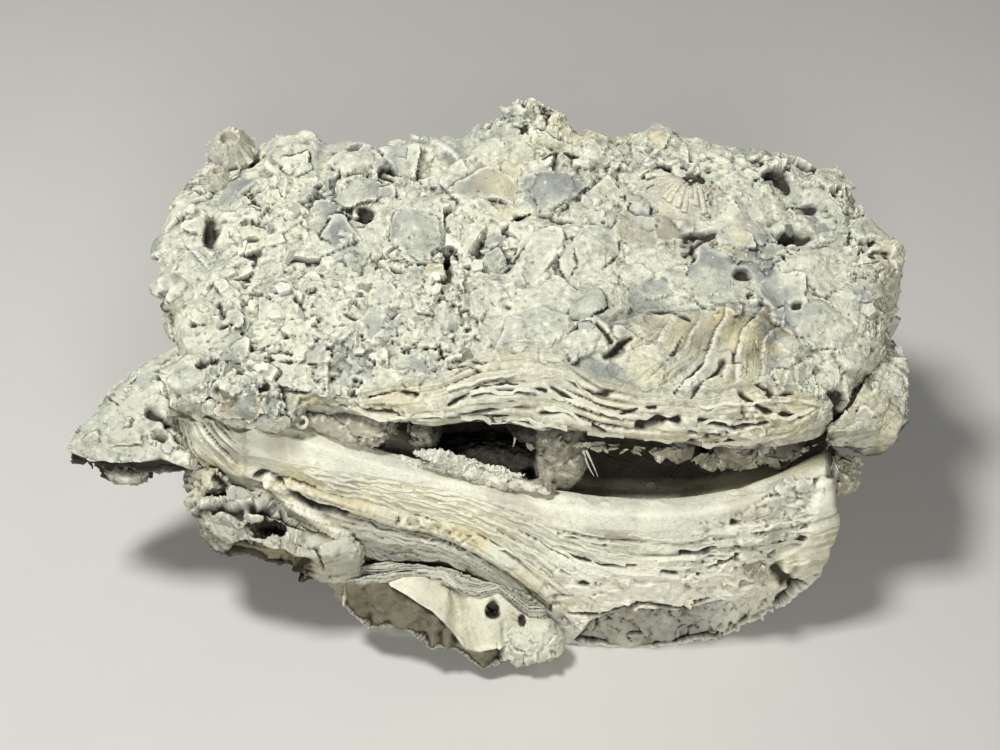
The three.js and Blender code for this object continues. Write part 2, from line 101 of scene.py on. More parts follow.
HOLLOW_TOP = [(222, 543), (250, 540), (280, 548), (313, 560)]
UNDER_LEDGE = [(193, 500), (215, 501), (246, 505), (262, 500), (300, 512)]
LOBE_FOOT = [(70, 452), (90, 460), (110, 463), (140, 465), (160, 458), (190, 470)]
APRON_FOLD = [(446, 580), (459, 597), (463, 621), (471, 647)]


def along(points, x):
    """Height, depth or pixel of an outline at x."""
    table = np.array(points, float)
    return np.interp(x, table[:, 0], table[:, 1])


def smooth(value, start, end):
    """0 before start, 1 after end, eased between them."""
    share = np.clip((value - start) / (end - start), 0, 1)
    return share * share * (3 - 2 * share)


def sight(points):
    """Where points show in the photograph, in its pixels."""
    away = points - LOOK_AT
    depth = DISTANCE - away @ TOWARD
    up = away[:, 1] * math.sin(ELEVATION) + away[:, 2] * math.cos(ELEVATION)
    return 500 + FOCAL * away[:, 0] / depth, 375 - FOCAL * up / depth


def sighted(px, py, y):
    """The point at depth y that shows at a pixel of the photograph."""
    away = y - LOOK_AT[1]
    slope = (375 - py) / FOCAL
    cos, sin = math.cos(ELEVATION), math.sin(ELEVATION)
    height = (slope * (DISTANCE + away * cos) - away * sin) / (cos + slope * sin)
    depth = DISTANCE + away * cos - height * sin
    return np.array([(px - 500) / FOCAL * depth, y, LOOK_AT[2] + height])


def path_distance(px, py, path):
    """How far each point shows from a path, in pixels, and how far along the path it is."""
    nearest, run, start = np.full(len(px), 1e9), np.zeros(len(px)), 0.0
    for (x0, y0), (x1, y1) in zip(path, path[1:]):
        length = math.hypot(x1 - x0, y1 - y0)
        share = np.clip(((px - x0) * (x1 - x0) + (py - y0) * (y1 - y0)) / length**2, 0, 1)
        away = np.hypot(px - x0 - share * (x1 - x0), py - y0 - share * (y1 - y0))
        closer = away < nearest
        nearest = np.where(closer, away, nearest)
        run = np.where(closer, start + share * length, run)
        start += length
    return nearest, run


# Noise on arrays of points


def lattice(i, j, k, seed):
    """A repeatable number from 0 to 1 for each whole point of a grid."""
    h = (i * 374761393 + j * 668265263 + k * 1440662683 + seed * 1274126177) & 0xFFFFFFFF
    h = ((h ^ (h >> 13)) * 1274126177) & 0xFFFFFFFF
    return ((h ^ (h >> 16)) & 0xFFFFFF) / 0xFFFFFF


def noise(points, size, seed=0):
    """Smooth noise from -1 to 1 in lumps of the given size."""
    scaled = points / size
    whole = np.floor(scaled).astype(np.int64)
    t = scaled - whole
    t = t * t * (3 - 2 * t)
    total = np.zeros(len(points))
    for corner in range(8):
        step = np.array([corner & 1, corner >> 1 & 1, corner >> 2 & 1])
        weight = np.prod(np.where(step, t, 1 - t), axis=1)
        total += weight * lattice(*(whole + step).T, seed)
    return 2 * total - 1


def layered(points, size, octaves=3, seed=0):
    """Noise with finer noise added to it."""
    total = np.zeros(len(points))
    for octave in range(octaves):
        total += noise(points, size / 2**octave, seed + octave * 7) / 2**octave
    return total / 1.5


def facets(points, size, seed=0):
    """Broken plates of a size: the level of each, which leans its own way, and the way to its edge."""
    scaled = points / size
    whole = np.floor(scaled).astype(np.int64)
    first, second = np.full(len(points), 9.0), np.full(len(points), 9.0)
    level = np.zeros(len(points))
    for cell in range(27):
        at = whole + (cell % 3 - 1, cell // 3 % 3 - 1, cell // 9 - 1)
        seat = np.stack([lattice(*at.T, seed + s) for s in (1, 2, 3)], 1)
        to_seat = at + seat - scaled
        away = np.linalg.norm(to_seat, axis=1)
        lean = np.stack([lattice(*at.T, seed + s) for s in (4, 5, 6)], 1) - 0.5
        own = lattice(*at.T, seed + 7) * 2 - 1 + 2.2 * (lean * to_seat).sum(1)
        nearer = away < first
        second = np.where(nearer, first, np.minimum(second, away))
        level = np.where(nearer, own, level)
        first = np.where(nearer, away, first)
    return level, (second - first) * size


# A piece's surface


class Near:
    """Finds the points close to a place, by boxes of the given reach."""

    def __init__(self, points, reach):
        self.low, self.reach = points.min(0), reach
        box = ((points - self.low) // reach).astype(np.int64)
        self.shape = box.max(0) + 1
        key = (box[:, 0] * self.shape[1] + box[:, 1]) * self.shape[2] + box[:, 2]
        self.order = np.argsort(key, kind="stable")
        self.keys = key[self.order]

    def about(self, place):
        box = ((place - self.low) // self.reach).astype(int)
        found = []
        for x in range(max(box[0] - 1, 0), min(box[0] + 2, self.shape[0])):
            for y in range(max(box[1] - 1, 0), min(box[1] + 2, self.shape[1])):
                column = (x * self.shape[1] + y) * self.shape[2]
                first = column + max(box[2] - 1, 0)
                last = column + min(box[2] + 1, self.shape[2] - 1)
                a, b = np.searchsorted(self.keys, [first, last + 1])
                found.append(self.order[a:b])
        return np.concatenate(found)


class Skin:
    """Points of a piece in mm from the measuring point, with how far each is raised, stained and painted with
    shade and highlight.
    """

    # The dirt mark carries real dirt and painted shade; the worn mark carries wear and a painted highlight on
    # raised points.
    MARKS = ("grey", "ochre", "dirt_and_shade", "layer", "chips", "worn")

    def __init__(self, mesh):
        self.mesh = mesh
        self.co = self.read(mesh.vertices, "co", 3) / MM - SHIFT
        self.normal = self.read(mesh.vertices, "normal", 3)
        self.ends = self.read(mesh.edges, "vertices", 2, np.int64)
        self.px, self.py = sight(self.co)
        self.facing = self.normal @ TOWARD
        self.rise = np.zeros(len(self.co))
        for mark in self.MARKS:
            setattr(self, mark, np.zeros(len(self.co)))

    @staticmethod
    def read(items, name, width, kind=float):
        flat = np.empty(len(items) * width, kind)
        items.foreach_get(name, flat)
        return flat.reshape(-1, width)

    def spread(self, values, rounds):
        """Values averaged with those of their neighbours."""
        a, b = self.ends.T
        count = len(values)
        links = np.bincount(a, minlength=count) + np.bincount(b, minlength=count)
        for _ in range(rounds):
            total = np.bincount(a, values[b], count) + np.bincount(b, values[a], count)
            values = (values + total / links) / 2
        return values

    def powder(self, mask, seed):
        """Marl powder that fills the low places, softens what it covers and leaves a fine grit."""
        self.rise += mask * (self.spread(self.rise, 5) - self.rise)
        self.rise += mask * (0.16 * noise(self.co, 1.2, seed) + 0.16 * noise(self.co, 2.4, seed + 1))
        self.dirt_and_shade *= 1 - 0.5 * mask

    def settle(self, ground=True):
        """Moves the points by their rise and stores the stains for the materials, with painted shade in the
        low places and a painted highlight on the raised ones.
        """
        near = self.spread(self.rise, 6)
        far = self.spread(near, 18)
        # Painted shade: points lower than their neighbours, in wide and narrow hollows, are darkened through
        # the dirt mark.
        self.dirt_and_shade = self.dirt_and_shade + 0.65 * np.clip(far - self.rise - 0.14, 0, 1)
        self.dirt_and_shade = self.dirt_and_shade + 0.75 * np.clip(near - self.rise - 0.07, 0, 1)
        # Painted highlight, partly real rubbed edges: points higher than their neighbours are lightened
        # through the worn mark.
        self.worn = np.clip(self.worn + 3 * (self.rise - near), 0, 1)
        self.chips = self.chips * smooth(self.co[:, 2], 1.5, 4)
        co = self.co + self.normal * self.rise[:, None]
        if ground:
            co[:, 2] = np.maximum(co[:, 2], 0.02)
        self.mesh.vertices.foreach_set("co", ((co + SHIFT) * MM).ravel())
        for mark in self.MARKS:
            top = 99 if mark == "layer" else 1
            values = np.clip(getattr(self, mark), 0, top).astype(np.float32)
            self.mesh.attributes.new(mark, "FLOAT", "POINT").data.foreach_set("value", values)
        self.mesh.update()


def evaluated_copy(obj, name):
    """The object's shape with its modifiers, as a plain mesh in a new object."""
    bpy.context.view_layer.update()
    seen = obj.evaluated_get(bpy.context.evaluated_depsgraph_get())
    mesh = bpy.data.meshes.new_from_object(seen)
    mesh.name = name
    return placed(mesh, name)


def placed(mesh, name):
    """A new object for a mesh, at the origin."""
    made = bpy.data.objects.new(name, mesh)
    bpy.context.scene.collection.objects.link(made)
    return made


def drop(obj):
    """Takes away an object that was only a step on the way."""
    mesh = obj.data
    bpy.data.objects.remove(obj)
    bpy.data.meshes.remove(mesh)


def fine_copy(node, voxel, rounds):
    """A fine, even mesh of a CAD node with its facets worn soft."""
    rough = placed(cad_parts[node].data.copy(), "rough")
    weld = rough.modifiers.new("weld", "WELD")
    weld.merge_threshold = 0.01 * MM
    remesh = rough.modifiers.new("remesh", "REMESH")
    remesh.mode, remesh.voxel_size = "VOXEL", voxel * MM
    worn = rough.modifiers.new("worn", "SMOOTH")
    worn.factor, worn.iterations = 0.5, rounds
    made = evaluated_copy(rough, "worn")
    drop(rough)
    made.data.materials.clear()
    return made


def thinned(piece, name, most):
    """The piece with fewer triangles where it is flat."""
    count = sum(len(face.vertices) - 2 for face in piece.data.polygons)
    if count > most:
        spare = piece.modifiers.new("spare", "DECIMATE")
        spare.ratio = most / count
    made = evaluated_copy(piece, name)
    drop(piece)
    return made


# Relief


def rubble(skin, mask, coarse=1.0, seed=0, flaky=0.0):
    """Ground of shell rubble set in marl: tilted blocks with clean edges, with fine flakes between them."""
    here = np.flatnonzero(mask > 0.02)
    co, share = skin.co[here], mask[here]
    flaky = np.broadcast_to(flaky, mask.shape)[here]
    broken = np.clip(smooth(noise(co, 12, seed + 9), -0.1, 0.35) + flaky, 0, 1)
    bent = co + 0.3 * np.stack([noise(co, 2.2, seed + s) for s in (61, 62, 63)], 1)
    ground = 1.9 * coarse * (0.4 - np.abs(noise(co, 15, seed + 30))) + 0.9 * coarse * noise(co, 8, seed + 31)
    flakes = (0.8 - 0.4 * flaky)[:, None] * (1, 0, 0) + (0, 1, 1.25)
    for size, height, spread, where in (
        (10.0, 0.95 * coarse, (0.8, 1, 1), 1),
        (4.6, 0.5, (0.85, 1, 1.2), 0.6 + 0.4 * broken),
        (1.7, 0.42, flakes, 0.25 + 0.75 * broken),
    ):
        level, edge = facets(bent * spread, size, seed + int(size))
        ground += where * height * level
        gap = np.exp(-((edge / 0.3) ** 2)) * smooth(noise(co, size * 1.7, seed + 5), 0.15, 0.5)
        ground -= 0.5 * where * gap
        # Painted shade in the gaps between blocks.
        skin.dirt_and_shade[here] += share * where * 0.2 * gap
    pits = smooth(noise(bent, 1.9, seed + 72), 0.5, 0.65) * (0.25 + 0.75 * broken)
    skin.rise[here] += share * (ground - 1.2 * pits)
    # Painted shade in the pits.
    skin.dirt_and_shade[here] += share * 0.5 * pits
    skin.grey[here] += share * 0.3 * smooth(noise(co, 5, seed + 74), 0.2, 0.5)
    skin.chips[here] *= 0.15 + 0.85 * broken


def fragments(skin, count, smallest, largest, where, lift=0.5, lean=0.3):
    """Broken pieces of shell bedded at a slant, so that each stands proud of the ground on one side."""
    near = Near(skin.co, largest * 1.3)
    chance = np.clip(where, 0, None)
    for seed in RANDOM.choice(len(skin.co), count, p=chance / chance.sum()):
        centre, up = skin.co[seed], skin.normal[seed]
        long = smallest + (largest - smallest) * RANDOM.random() ** 2
        wide = long * RANDOM.uniform(0.5, 0.95)
        index = near.about(centre)
        away = skin.co[index] - centre
        index = index[(np.abs(away @ up) < largest * 0.8) & (skin.normal[index] @ up > 0.4)]
        away = skin.co[index] - centre
        side = np.cross(up, RANDOM.normal(size=3))
        side /= np.linalg.norm(side)
        a, b = away @ side / long, away @ np.cross(up, side) / wide
        corners = np.sort(RANDOM.uniform(0, 2 * math.pi, 6))
        walls = RANDOM.uniform(0.55, 1.0, 6)
        rho = np.max((a[:, None] * np.cos(corners) + b[:, None] * np.sin(corners)) / walls, axis=1)
        rho = np.maximum(rho, np.hypot(a, b) * 0.72)
        rho = rho / (1 + 0.1 * noise(skin.co[index], 2.4, 51) + 0.05 * noise(skin.co[index], 1.0, 52))
        inside = rho < 1
        if not inside.any():
            continue
        shape = RANDOM.choice([0.05, 0.7, -0.5], p=[0.75, 0.12, 0.13]) * min(long / 4, 1.2)
        slope = min(abs(RANDOM.normal()) * lean * long, 1.8)
        level = skin.rise[index[inside]].mean() + RANDOM.uniform(-0.5, 0.6) * lift
        height = level + slope * a + shape * (0.4 - rho**2)
        height += 0.1 * noise(skin.co[index], 1.6, 53)
        proud = inside & (height > skin.rise[index])
        chosen = index[proud]
        skin.rise[chosen] = np.clip(height[proud], -2.4, 2.6)
        foot = index[(rho >= 1) & (rho < 1 + 0.5 / long) & (slope * a > 0.1)]
        skin.rise[foot] -= 0.25
        # Painted shadow at the foot of the proud edge.
        skin.dirt_and_shade[foot] += 0.12
        skin.dirt_and_shade[chosen] *= 0.25
        skin.grey[chosen] = np.clip(RANDOM.normal(0.12, 0.25), 0, 1)
        skin.ochre[chosen] = 0.4 * RANDOM.random() ** 7
        skin.chips[chosen] *= 0.6


def plate(skin, place, sizes, turn=0, lift=1.0, dome=0.5, lean=(0, 0), grey=0.4, ochre=0.0, lines=0.0):
    """One piece of the crust that can be told apart: straight broken sides, with growth lines if any."""
    away = skin.co - np.array(place, float)
    here = np.flatnonzero((np.abs(away) < (sizes[0] * 2, sizes[0] * 2, 7)).all(1) & (skin.normal[:, 2] > 0))
    co, away = skin.co[here], away[here]
    angle = math.radians(turn)
    a = (away[:, 0] * math.cos(angle) + away[:, 1] * math.sin(angle)) / sizes[0]
    b = (away[:, 1] * math.cos(angle) - away[:, 0] * math.sin(angle)) / sizes[1]
    dice = np.random.default_rng(int(abs(place[0] * 13 + place[1] * 7)))
    sides = np.arange(5) * 2 * math.pi / 5 + dice.uniform(-0.35, 0.35, 5)
    rho = np.max((a[:, None] * np.cos(sides) + b[:, None] * np.sin(sides)) / dice.uniform(0.7, 1, 5), axis=1)
    rho = np.maximum(rho, np.hypot(a, b) * 0.72) / (1 + 0.16 * noise(co, 2.6, 31) + 0.06 * noise(co, 1.2, 32))
    inside = rho < 1
    height = skin.rise[here[inside]].mean() + 0.5 * lift + dome * (0.6 - rho**2)
    height += lean[0] * a + lean[1] * b + 0.3 * noise(co, 3.2, 33) + 0.16 * noise(co, 1.4, 34)
    if lines:
        height += 0.13 * np.sin(rho * sizes[0] * lines + noise(co, 4, 35))
    proud = inside & (height > skin.rise[here] - 0.5)
    chosen = here[proud]
    skin.rise[chosen] = height[proud]
    foot = here[(rho >= 1) & (rho < 1 + 0.6 / sizes[0])]
    broken = smooth(noise(skin.co[foot], 3.0, 36), -0.4, 0.4)
    skin.rise[foot] -= 0.5 * broken
    # Painted shadow round the broken foot of the plate.
    skin.dirt_and_shade[foot] += 0.35 * broken
    skin.dirt_and_shade[chosen] *= 0.4
    skin.grey[chosen] = grey * (0.55 + 0.6 * noise(skin.co[chosen], 3.5, 5))
    skin.ochre[chosen] = 0.55 * ochre * (0.8 + 0.5 * noise(skin.co[chosen], 2.5, 6))
    skin.chips[chosen] *= 0.5


def hollow(skin, place, sizes, depth, dirt_and_shade=1.0, turn=0):
    """A pit or slot in the crust, painted dark with the shade inside it."""
    away = skin.co - np.array(place, float)
    angle = math.radians(turn)
    a = (away[:, 0] * math.cos(angle) + away[:, 1] * math.sin(angle)) / sizes[0]
    b = (away[:, 1] * math.cos(angle) - away[:, 0] * math.sin(angle)) / sizes[1]
    rho = np.hypot(a, b) / (1 + 0.35 * noise(skin.co, 2.2, 77))
    reach = np.exp(-(rho**4)) * (np.abs(away[:, 2]) < 8)
    skin.rise -= depth * reach
    # Painted shade inside the pit, and no painted highlight there.
    skin.dirt_and_shade += dirt_and_shade * reach
    skin.worn -= 3 * reach
    skin.chips *= 1 - reach


def crack(skin, path, width=1.8, depth=0.9, dirt_and_shade=0.8):
    """A crack or gap that shows along a path of the photograph, wider and narrower by turns, painted dark
    with the shade inside it.
    """
    away, _ = path_distance(skin.px, skin.py, path)
    away = np.abs(away + 1.2 * noise(skin.co, 1.8, 92))
    wide = width * np.clip(0.8 + 0.9 * noise(skin.co, 2.4, 91), 0.15, 1.6)
    reach = np.exp(-((away / wide) ** 2)) * (skin.facing > 0.05)
    skin.rise -= depth * reach
    # Painted shade inside the crack.
    skin.dirt_and_shade += dirt_and_shade * reach
    skin.chips *= 1 - reach


def leaves(skin, layer, mask, depth, seed, groove_width=0.2):
    """Growth layers seen edge on: each stands out by its own uneven amount over a groove."""
    co = skin.co
    layer = layer + 0.35 * noise(co, 24, seed) + 0.16 * noise(co, 8, seed + 1)
    number = np.floor(layer)
    part = layer - number
    run = np.stack([co[:, 0] / 22, number * 3.7, number * 0], 1)
    stand = noise(run, 1.0, seed + 2) + 0.5 * noise(run * (5, 1, 1), 1.0, seed + 3)
    open_here = smooth(noise(run * (2.2, 1, 1), 1.0, seed + 4), -0.35, 0.35)
    groove = np.exp(-((np.minimum(part, 1 - part) / groove_width) ** 2)) * open_here
    skin.rise += mask * depth * (0.5 * stand + 0.45 * (0.5 - part) - 0.9 * groove)
    whole = number.astype(np.int64)
    tone = lattice(whole, whole * 0 + 3, whole * 0, seed)
    return tone, groove


# Upper valve

# Dark cracks and gaps of the crust and the lip: path, width in pixels, depth in mm
CRUST_CRACKS = [
    ([(383, 329), (399, 314)], 1.6, 0.8),
    ([(405, 352), (432, 334)], 1.5, 0.8),
    ([(411, 314), (430, 316)], 1.7, 0.8),
    ([(345, 314), (355, 320)], 1.6, 0.8),
    ([(370, 397), (394, 391), (416, 393)], 2.6, 1.8),
    ([(196, 365), (215, 362)], 3.0, 2.0),
    ([(194, 326), (207, 325)], 2.8, 2.0),
    ([(222, 330), (231, 326)], 2.4, 1.6),
    ([(218, 300), (224, 318)], 2.4, 1.6),
    ([(267, 361), (292, 363)], 1.7, 0.9),
    ([(279, 352), (292, 355)], 1.5, 0.8),
    ([(258, 392), (268, 388)], 2.8, 1.6),
    ([(252, 407), (262, 408)], 2.2, 1.2),
    ([(296, 300), (302, 308)], 2.2, 1.2),
    ([(531, 240), (526, 251), (514, 263)], 1.6, 0.8),
    ([(572, 236), (574, 252), (577, 266), (564, 287)], 1.4, 0.6),
    ([(619, 242), (619, 255), (610, 263), (600, 271)], 1.4, 0.7),
    ([(570, 334), (583, 322), (596, 322), (608, 336), (612, 342)], 2.2, 1.5),
    ([(606, 357), (621, 344), (631, 339)], 2.6, 1.6),
    ([(589, 391), (606, 394)], 3.6, 2.0),
    ([(503, 232), (514, 222), (531, 214)], 2.8, 1.8),
    ([(686, 251), (713, 235)], 2.2, 1.3),
    ([(648, 312), (672, 312), (690, 318)], 1.6, 0.8),
    ([(684, 332), (673, 355)], 1.4, 0.7),
    ([(705, 362), (684, 381), (675, 393)], 1.6, 0.9),
    ([(723, 362), (717, 372), (702, 381), (688, 404)], 2.0, 1.3),
    ([(457, 361), (468, 358), (482, 364), (497, 360)], 1.5, 0.8),
    ([(449, 369), (466, 364), (480, 372)], 1.4, 0.7),
    ([(757, 385), (775, 396), (792, 394)], 2.0, 1.2),
    ([(740, 395), (768, 412), (800, 416)], 2.6, 1.6),
    ([(545, 163), (560, 152), (578, 158)], 2.6, 1.4),
    ([(380, 176), (392, 183)], 3.0, 1.8),
]
LIP_CRACKS = [
    ([(449, 405), (478, 388), (507, 382), (545, 391)], 1.8, 1.2),
    ([(459, 416), (487, 412), (512, 403)], 2.4, 1.3),
    ([(552, 387), (575, 403), (598, 414), (617, 416), (640, 408), (656, 408)], 1.9, 1.3),
    ([(541, 413), (564, 412), (589, 424), (604, 431)], 1.8, 1.3),
    ([(518, 422), (545, 427), (564, 433)], 1.7, 1.2),
    ([(641, 427), (658, 420), (675, 420)], 4.6, 2.6),
    ([(690, 441), (706, 438)], 3.4, 2.2),
    ([(600, 443), (604, 442)], 3.0, 1.8),
    ([(623, 447), (627, 447)], 3.0, 1.8),
    ([(650, 446), (660, 443)], 2.8, 1.8),
    ([(725, 445), (740, 449)], 2.4, 1.5),
    ([(340, 407), (380, 411), (430, 416), (500, 421)], 1.3, 0.9),
    ([(700, 420), (735, 428), (765, 424)], 2.0, 1.2),
    ([(690, 432), (720, 436)], 1.8, 1.2),
]


def named_crust(skin):
    """The fragments, pebbles, slots and holes that can be told apart on top."""
    plate(skin, (-37.8, 17.3, 75.5), (4.0, 4.4), 25, 1.4, 0.2, (0.3, 0.4), grey=0.8)
    plate(skin, (-36.5, 34.5, 82), (5.2, 5.0), 5, 3.2, 1.4, (0, 0.5), grey=0.35, ochre=0.2)
    plate(skin, (-24.5, 37, 80.5), (5.4, 3.8), -5, 3.0, 0.6, (0.4, 0), grey=0.3, ochre=0.1)
    plate(skin, (-50, 38, 83), (4.4, 3.6), 20, 2.2, 1.0, grey=0.1)
    plate(skin, (-43, 21, 79), (4.6, 3.4), 35, 0.7, 0.3, grey=1)
    plate(skin, (-59, 15, 76), (4.4, 3.6), 0, 0.5, 0.3, grey=0.05, ochre=0.5)
    plate(skin, (-19.5, 15.5, 76.5), (6.2, 5.0), 15, 1.6, 0.6, (0.5, 0.5), grey=0.75)
    plate(skin, (-15.5, 5.5, 72.5), (3.0, 4.0), 20, 0.6, 0.4, grey=0.1, ochre=0.9)
    plate(skin, (-12.0, -7.5, 70), (3.1, 3.1), 0, 0.9, 1.3, grey=0.95)
    plate(skin, (-1.2, 7.3, 74), (3.4, 4.2), -35, 0.9, 0.3, (0.4, 0), grey=0.8, lines=3.2)
    plate(skin, (-2.4, 28.6, 80.5), (8.0, 4.4), -6, 2.0, 0.1, (0.3, 0.6), grey=0.85, ochre=0.3)
    plate(skin, (13.3, 27.2, 80.4), (5.4, 4.4), 0, 1.1, 1.0, grey=0.7)
    plate(skin, (-0.8, 15, 76), (3.2, 1.8), 35, 0.9, 0.2, grey=1)
    plate(skin, (9.0, 10.0, 75), (6.5, 7.0), 6, 0.4, 0.6, (0.2, 0.2), grey=0.5, lines=2.4)
    plate(skin, (22.5, 9.0, 75.5), (9.0, 9.0), -4, 0.6, 0.7, (-0.2, 0.1), grey=0.3, ochre=0.1, lines=2.6)
    plate(skin, (33.5, 23.8, 78), (2.8, 2.8), 0, 0.9, 1.1, grey=1)
    plate(skin, (47.9, 13.0, 76), (3.0, 2.2), -10, 0.3, 1.1, grey=0.2, ochre=0.9)
    plate(skin, (19.6, -6.2, 71.5), (4.8, 3.0), 30, 1.5, 0.8, (0.3, 0.4), grey=0.75, ochre=0.15)
    plate(skin, (36.2, 0.5, 72), (3.6, 3.0), 20, 0.8, 0.4, grey=1)
    plate(skin, (64.7, 11.3, 74.5), (3.4, 2.2), 25, 1.1, 0.6, grey=0)
    plate(skin, (52, 3, 73), (8.0, 7.5), 0, 0.3, 0.4, grey=0.45, lines=1.4)
    plate(skin, (76, 8, 72), (9.0, 7.0), 12, 0.5, 0.5, grey=0.15, lines=1.1)
    plate(skin, (74, -6, 69), (9.5, 6.0), -14, 0.5, 0.5, grey=0.25, ochre=0.15, lines=1.3)
    # Pits and slots, each painted dark with the shade inside it.
    hollow(skin, (-69, 16.4, 76), (1.8, 3.4), 2.6)
    hollow(skin, (-59, 14.4, 75.8), (2.2, 0.6), 1.0, 0.4)
    hollow(skin, (-32.2, 22.8, 78.4), (1.8, 1.5), 2.0)
    hollow(skin, (-24.6, 4.5, 73), (1.4, 1.2), 2.4)
    hollow(skin, (-12.6, 8.5, 73), (0.9, 6.4), 2.2, 0.9, 6)
    hollow(skin, (-24.6, 33.6, 80.5), (3.6, 1.0), 2.4)
    hollow(skin, (10.5, 20.8, 78), (6.4, 0.9), 2.2, 1.0, -10)
    hollow(skin, (27.4, -15.5, 67), (3.0, 1.0), 1.4, 0.6, 40)
    hollow(skin, (68.1, 34.2, 79), (3.2, 3.0), 2.6)
    hollow(skin, (74.5, 26.3, 76), (2.4, 2.0), 2.0)
    hollow(skin, (57.1, 5.2, 73), (1.6, 1.4), 2.4)
    hollow(skin, (70.1, 16.7, 73), (3.8, 1.7), 2.6)
    hollow(skin, (47, 15.6, 76.5), (3.4, 0.8), 1.8, 0.9, 8)
    hollow(skin, (69, -2.9, 69.5), (1.2, 1.0), 1.6)
    hollow(skin, (78, -21.6, 58), (2.6, 2.0), 2.4)
    hollow(skin, (47.2, 31.8, 81), (2.6, 2.3), 2.8)
    fan = np.hypot(skin.co[:, 0] - 47, skin.co[:, 1] - 29)
    skin.chips *= 1 - np.exp(-((fan / 10) ** 4))


def growth_flap(skin, mask):
    """Growth edges of the flap on the right, curved round its hinge and stained by iron."""
    co = skin.co
    ring = np.hypot(co[:, 0] - 16, co[:, 1] - 4) + 3.4 * noise(co, 13, 4) + 1.0 * noise(co, 4.5, 6)
    step = (ring / 6.4) % 1
    skin.rise += mask * (1.5 * (1 - step) ** 1.5 - 0.7 + 0.8 * noise(co, 9, 8) + 0.2 * layered(co, 2.5, 2, 9))
    skin.layer += (mask > 0.3) * ring * 0.5
    skin.ochre += mask * (0.3 + 0.5 * noise(co, 7, 12))
    # Painted shade under each growth step.
    skin.dirt_and_shade += mask * 0.7 * np.exp(-(((step - 0.02) / 0.07) ** 2)) * smooth(noise(co, 6, 15), -0.1, 0.5)


def upper_valve():
    """Crust of rubble on top and at the sides, a wavy laminated lip in front, a smooth roof over the gape
    painted dark with its shade.
    """
    piece = fine_copy("upper_valve", 0.54, 16)
    skin = Skin(piece.data)
    co, up = skin.co, skin.normal
    top, edge = along(LIP_TOP, skin.px), along(LIP_EDGE, skin.px)
    share = (skin.py - top) / np.maximum(edge - top, 4)
    front = smooth(share, -0.25, 0.1) * smooth(skin.facing, -0.1, 0.15) * (co[:, 1] < -14)
    front = front * smooth(skin.px, 282, 300) * smooth(skin.px, 835, 815)
    roof = smooth(-up[:, 2], 0.3, 0.55) * (co[:, 1] < 14)
    flap = np.exp(-(((co[:, 0] - 47) / 21) ** 4) - ((co[:, 1] + 15) / 10) ** 4) * (up[:, 2] > 0) * (1 - front)
    calm = smooth(co[:, 0], 2, 22) * smooth(co[:, 0], 74, 60) * smooth(co[:, 1], 30, 20) * (up[:, 2] > 0.3)
    crust = (1 - front) * (1 - 0.9 * roof) * (1 - 0.85 * flap)
    skin.chips = crust * (1 - 0.5 * calm)
    hash_zone = smooth(skin.px, 180, 230) * smooth(skin.px, 520, 440) * smooth(skin.py, 245, 300)

    rubble(skin, crust * (1 - 0.3 * calm), 1.2, 3, 0.8 * hash_zone)
    fragments(skin, 70, 6.0, 12.0, crust * (0.4 + calm) + 1e-4, lift=0.5, lean=0.1)
    fragments(skin, 300, 3.0, 7.5, crust * (1 - 0.3 * calm) + 1e-4, lift=0.8, lean=0.24)
    fragments(skin, 420, 1.2, 3.0, crust * (0.3 + hash_zone) * (1 - 0.6 * calm) + 1e-4, lift=0.5, lean=0.4)
    growth_flap(skin, flap)
    skin.powder(0.75 * crust * (1 - 0.8 * hash_zone) * smooth(noise(co, 12, 90), -0.1, 0.4), 94)
    named_crust(skin)

    lumpy = smooth(skin.px, 690, 725) * smooth(skin.px, 790, 770)
    lumpy = front * np.maximum(lumpy, 0.7 * smooth(skin.px, 440, 400))
    rubble(skin, lumpy, 0.4, 27)
    bulge = smooth(skin.px, 425, 470) * (1 - 0.6 * lumpy)
    paged = 1 - 0.55 * smooth(skin.px, 600, 650)
    tone, groove = leaves(skin, np.clip(share, 0, 1.1) * 6.5, front * paged * (0.35 + 0.65 * bulge), 1.0, 21)
    skin.layer += front * (12 + 9 * share)
    skin.rise += front * 0.7 * layered(co * (0.6, 1, 1), 9, 2, 25)
    skin.ochre += front * (0.2 + 0.3 * (tone > 0.5) * smooth(noise(co, 12, 14), -0.4, 0.4))
    # Painted shade in the grooves between the lip's leaves.
    skin.dirt_and_shade += front * (0.1 + 0.35 * bulge) * paged * groove
    for path, width, depth in CRUST_CRACKS:
        crack(skin, path, width, depth, 0.7)
    for path, width, depth in LIP_CRACKS:
        crack(skin, path, width, depth, 1.0)
    blue_grey = 0.3 * smooth(noise(co, 19, 40), 0.05, 0.8)
    blue_grey += (0.6 + 0.35 * calm) * smooth(layered(co, 9, 3, 41), 0.1, 0.55)
    skin.grey += blue_grey * (1 - front)
    skin.dirt_and_shade += 0.32 * calm * (1 - front) * (1 - flap) * smooth(layered(co, 5, 3, 95), 0.15, 0.6)
    skin.ochre += 0.3 * smooth(noise(co, 24, 43), 0.2, 0.8) * (1 - front)
    # Painted shade on the roof over the gape, darkest deep inside.
    skin.dirt_and_shade += 0.95 * roof * smooth(co[:, 1], -32, -22)
    skin.settle()
    return thinned(piece, "upper_valve_crust", 196000)


# Lower valve

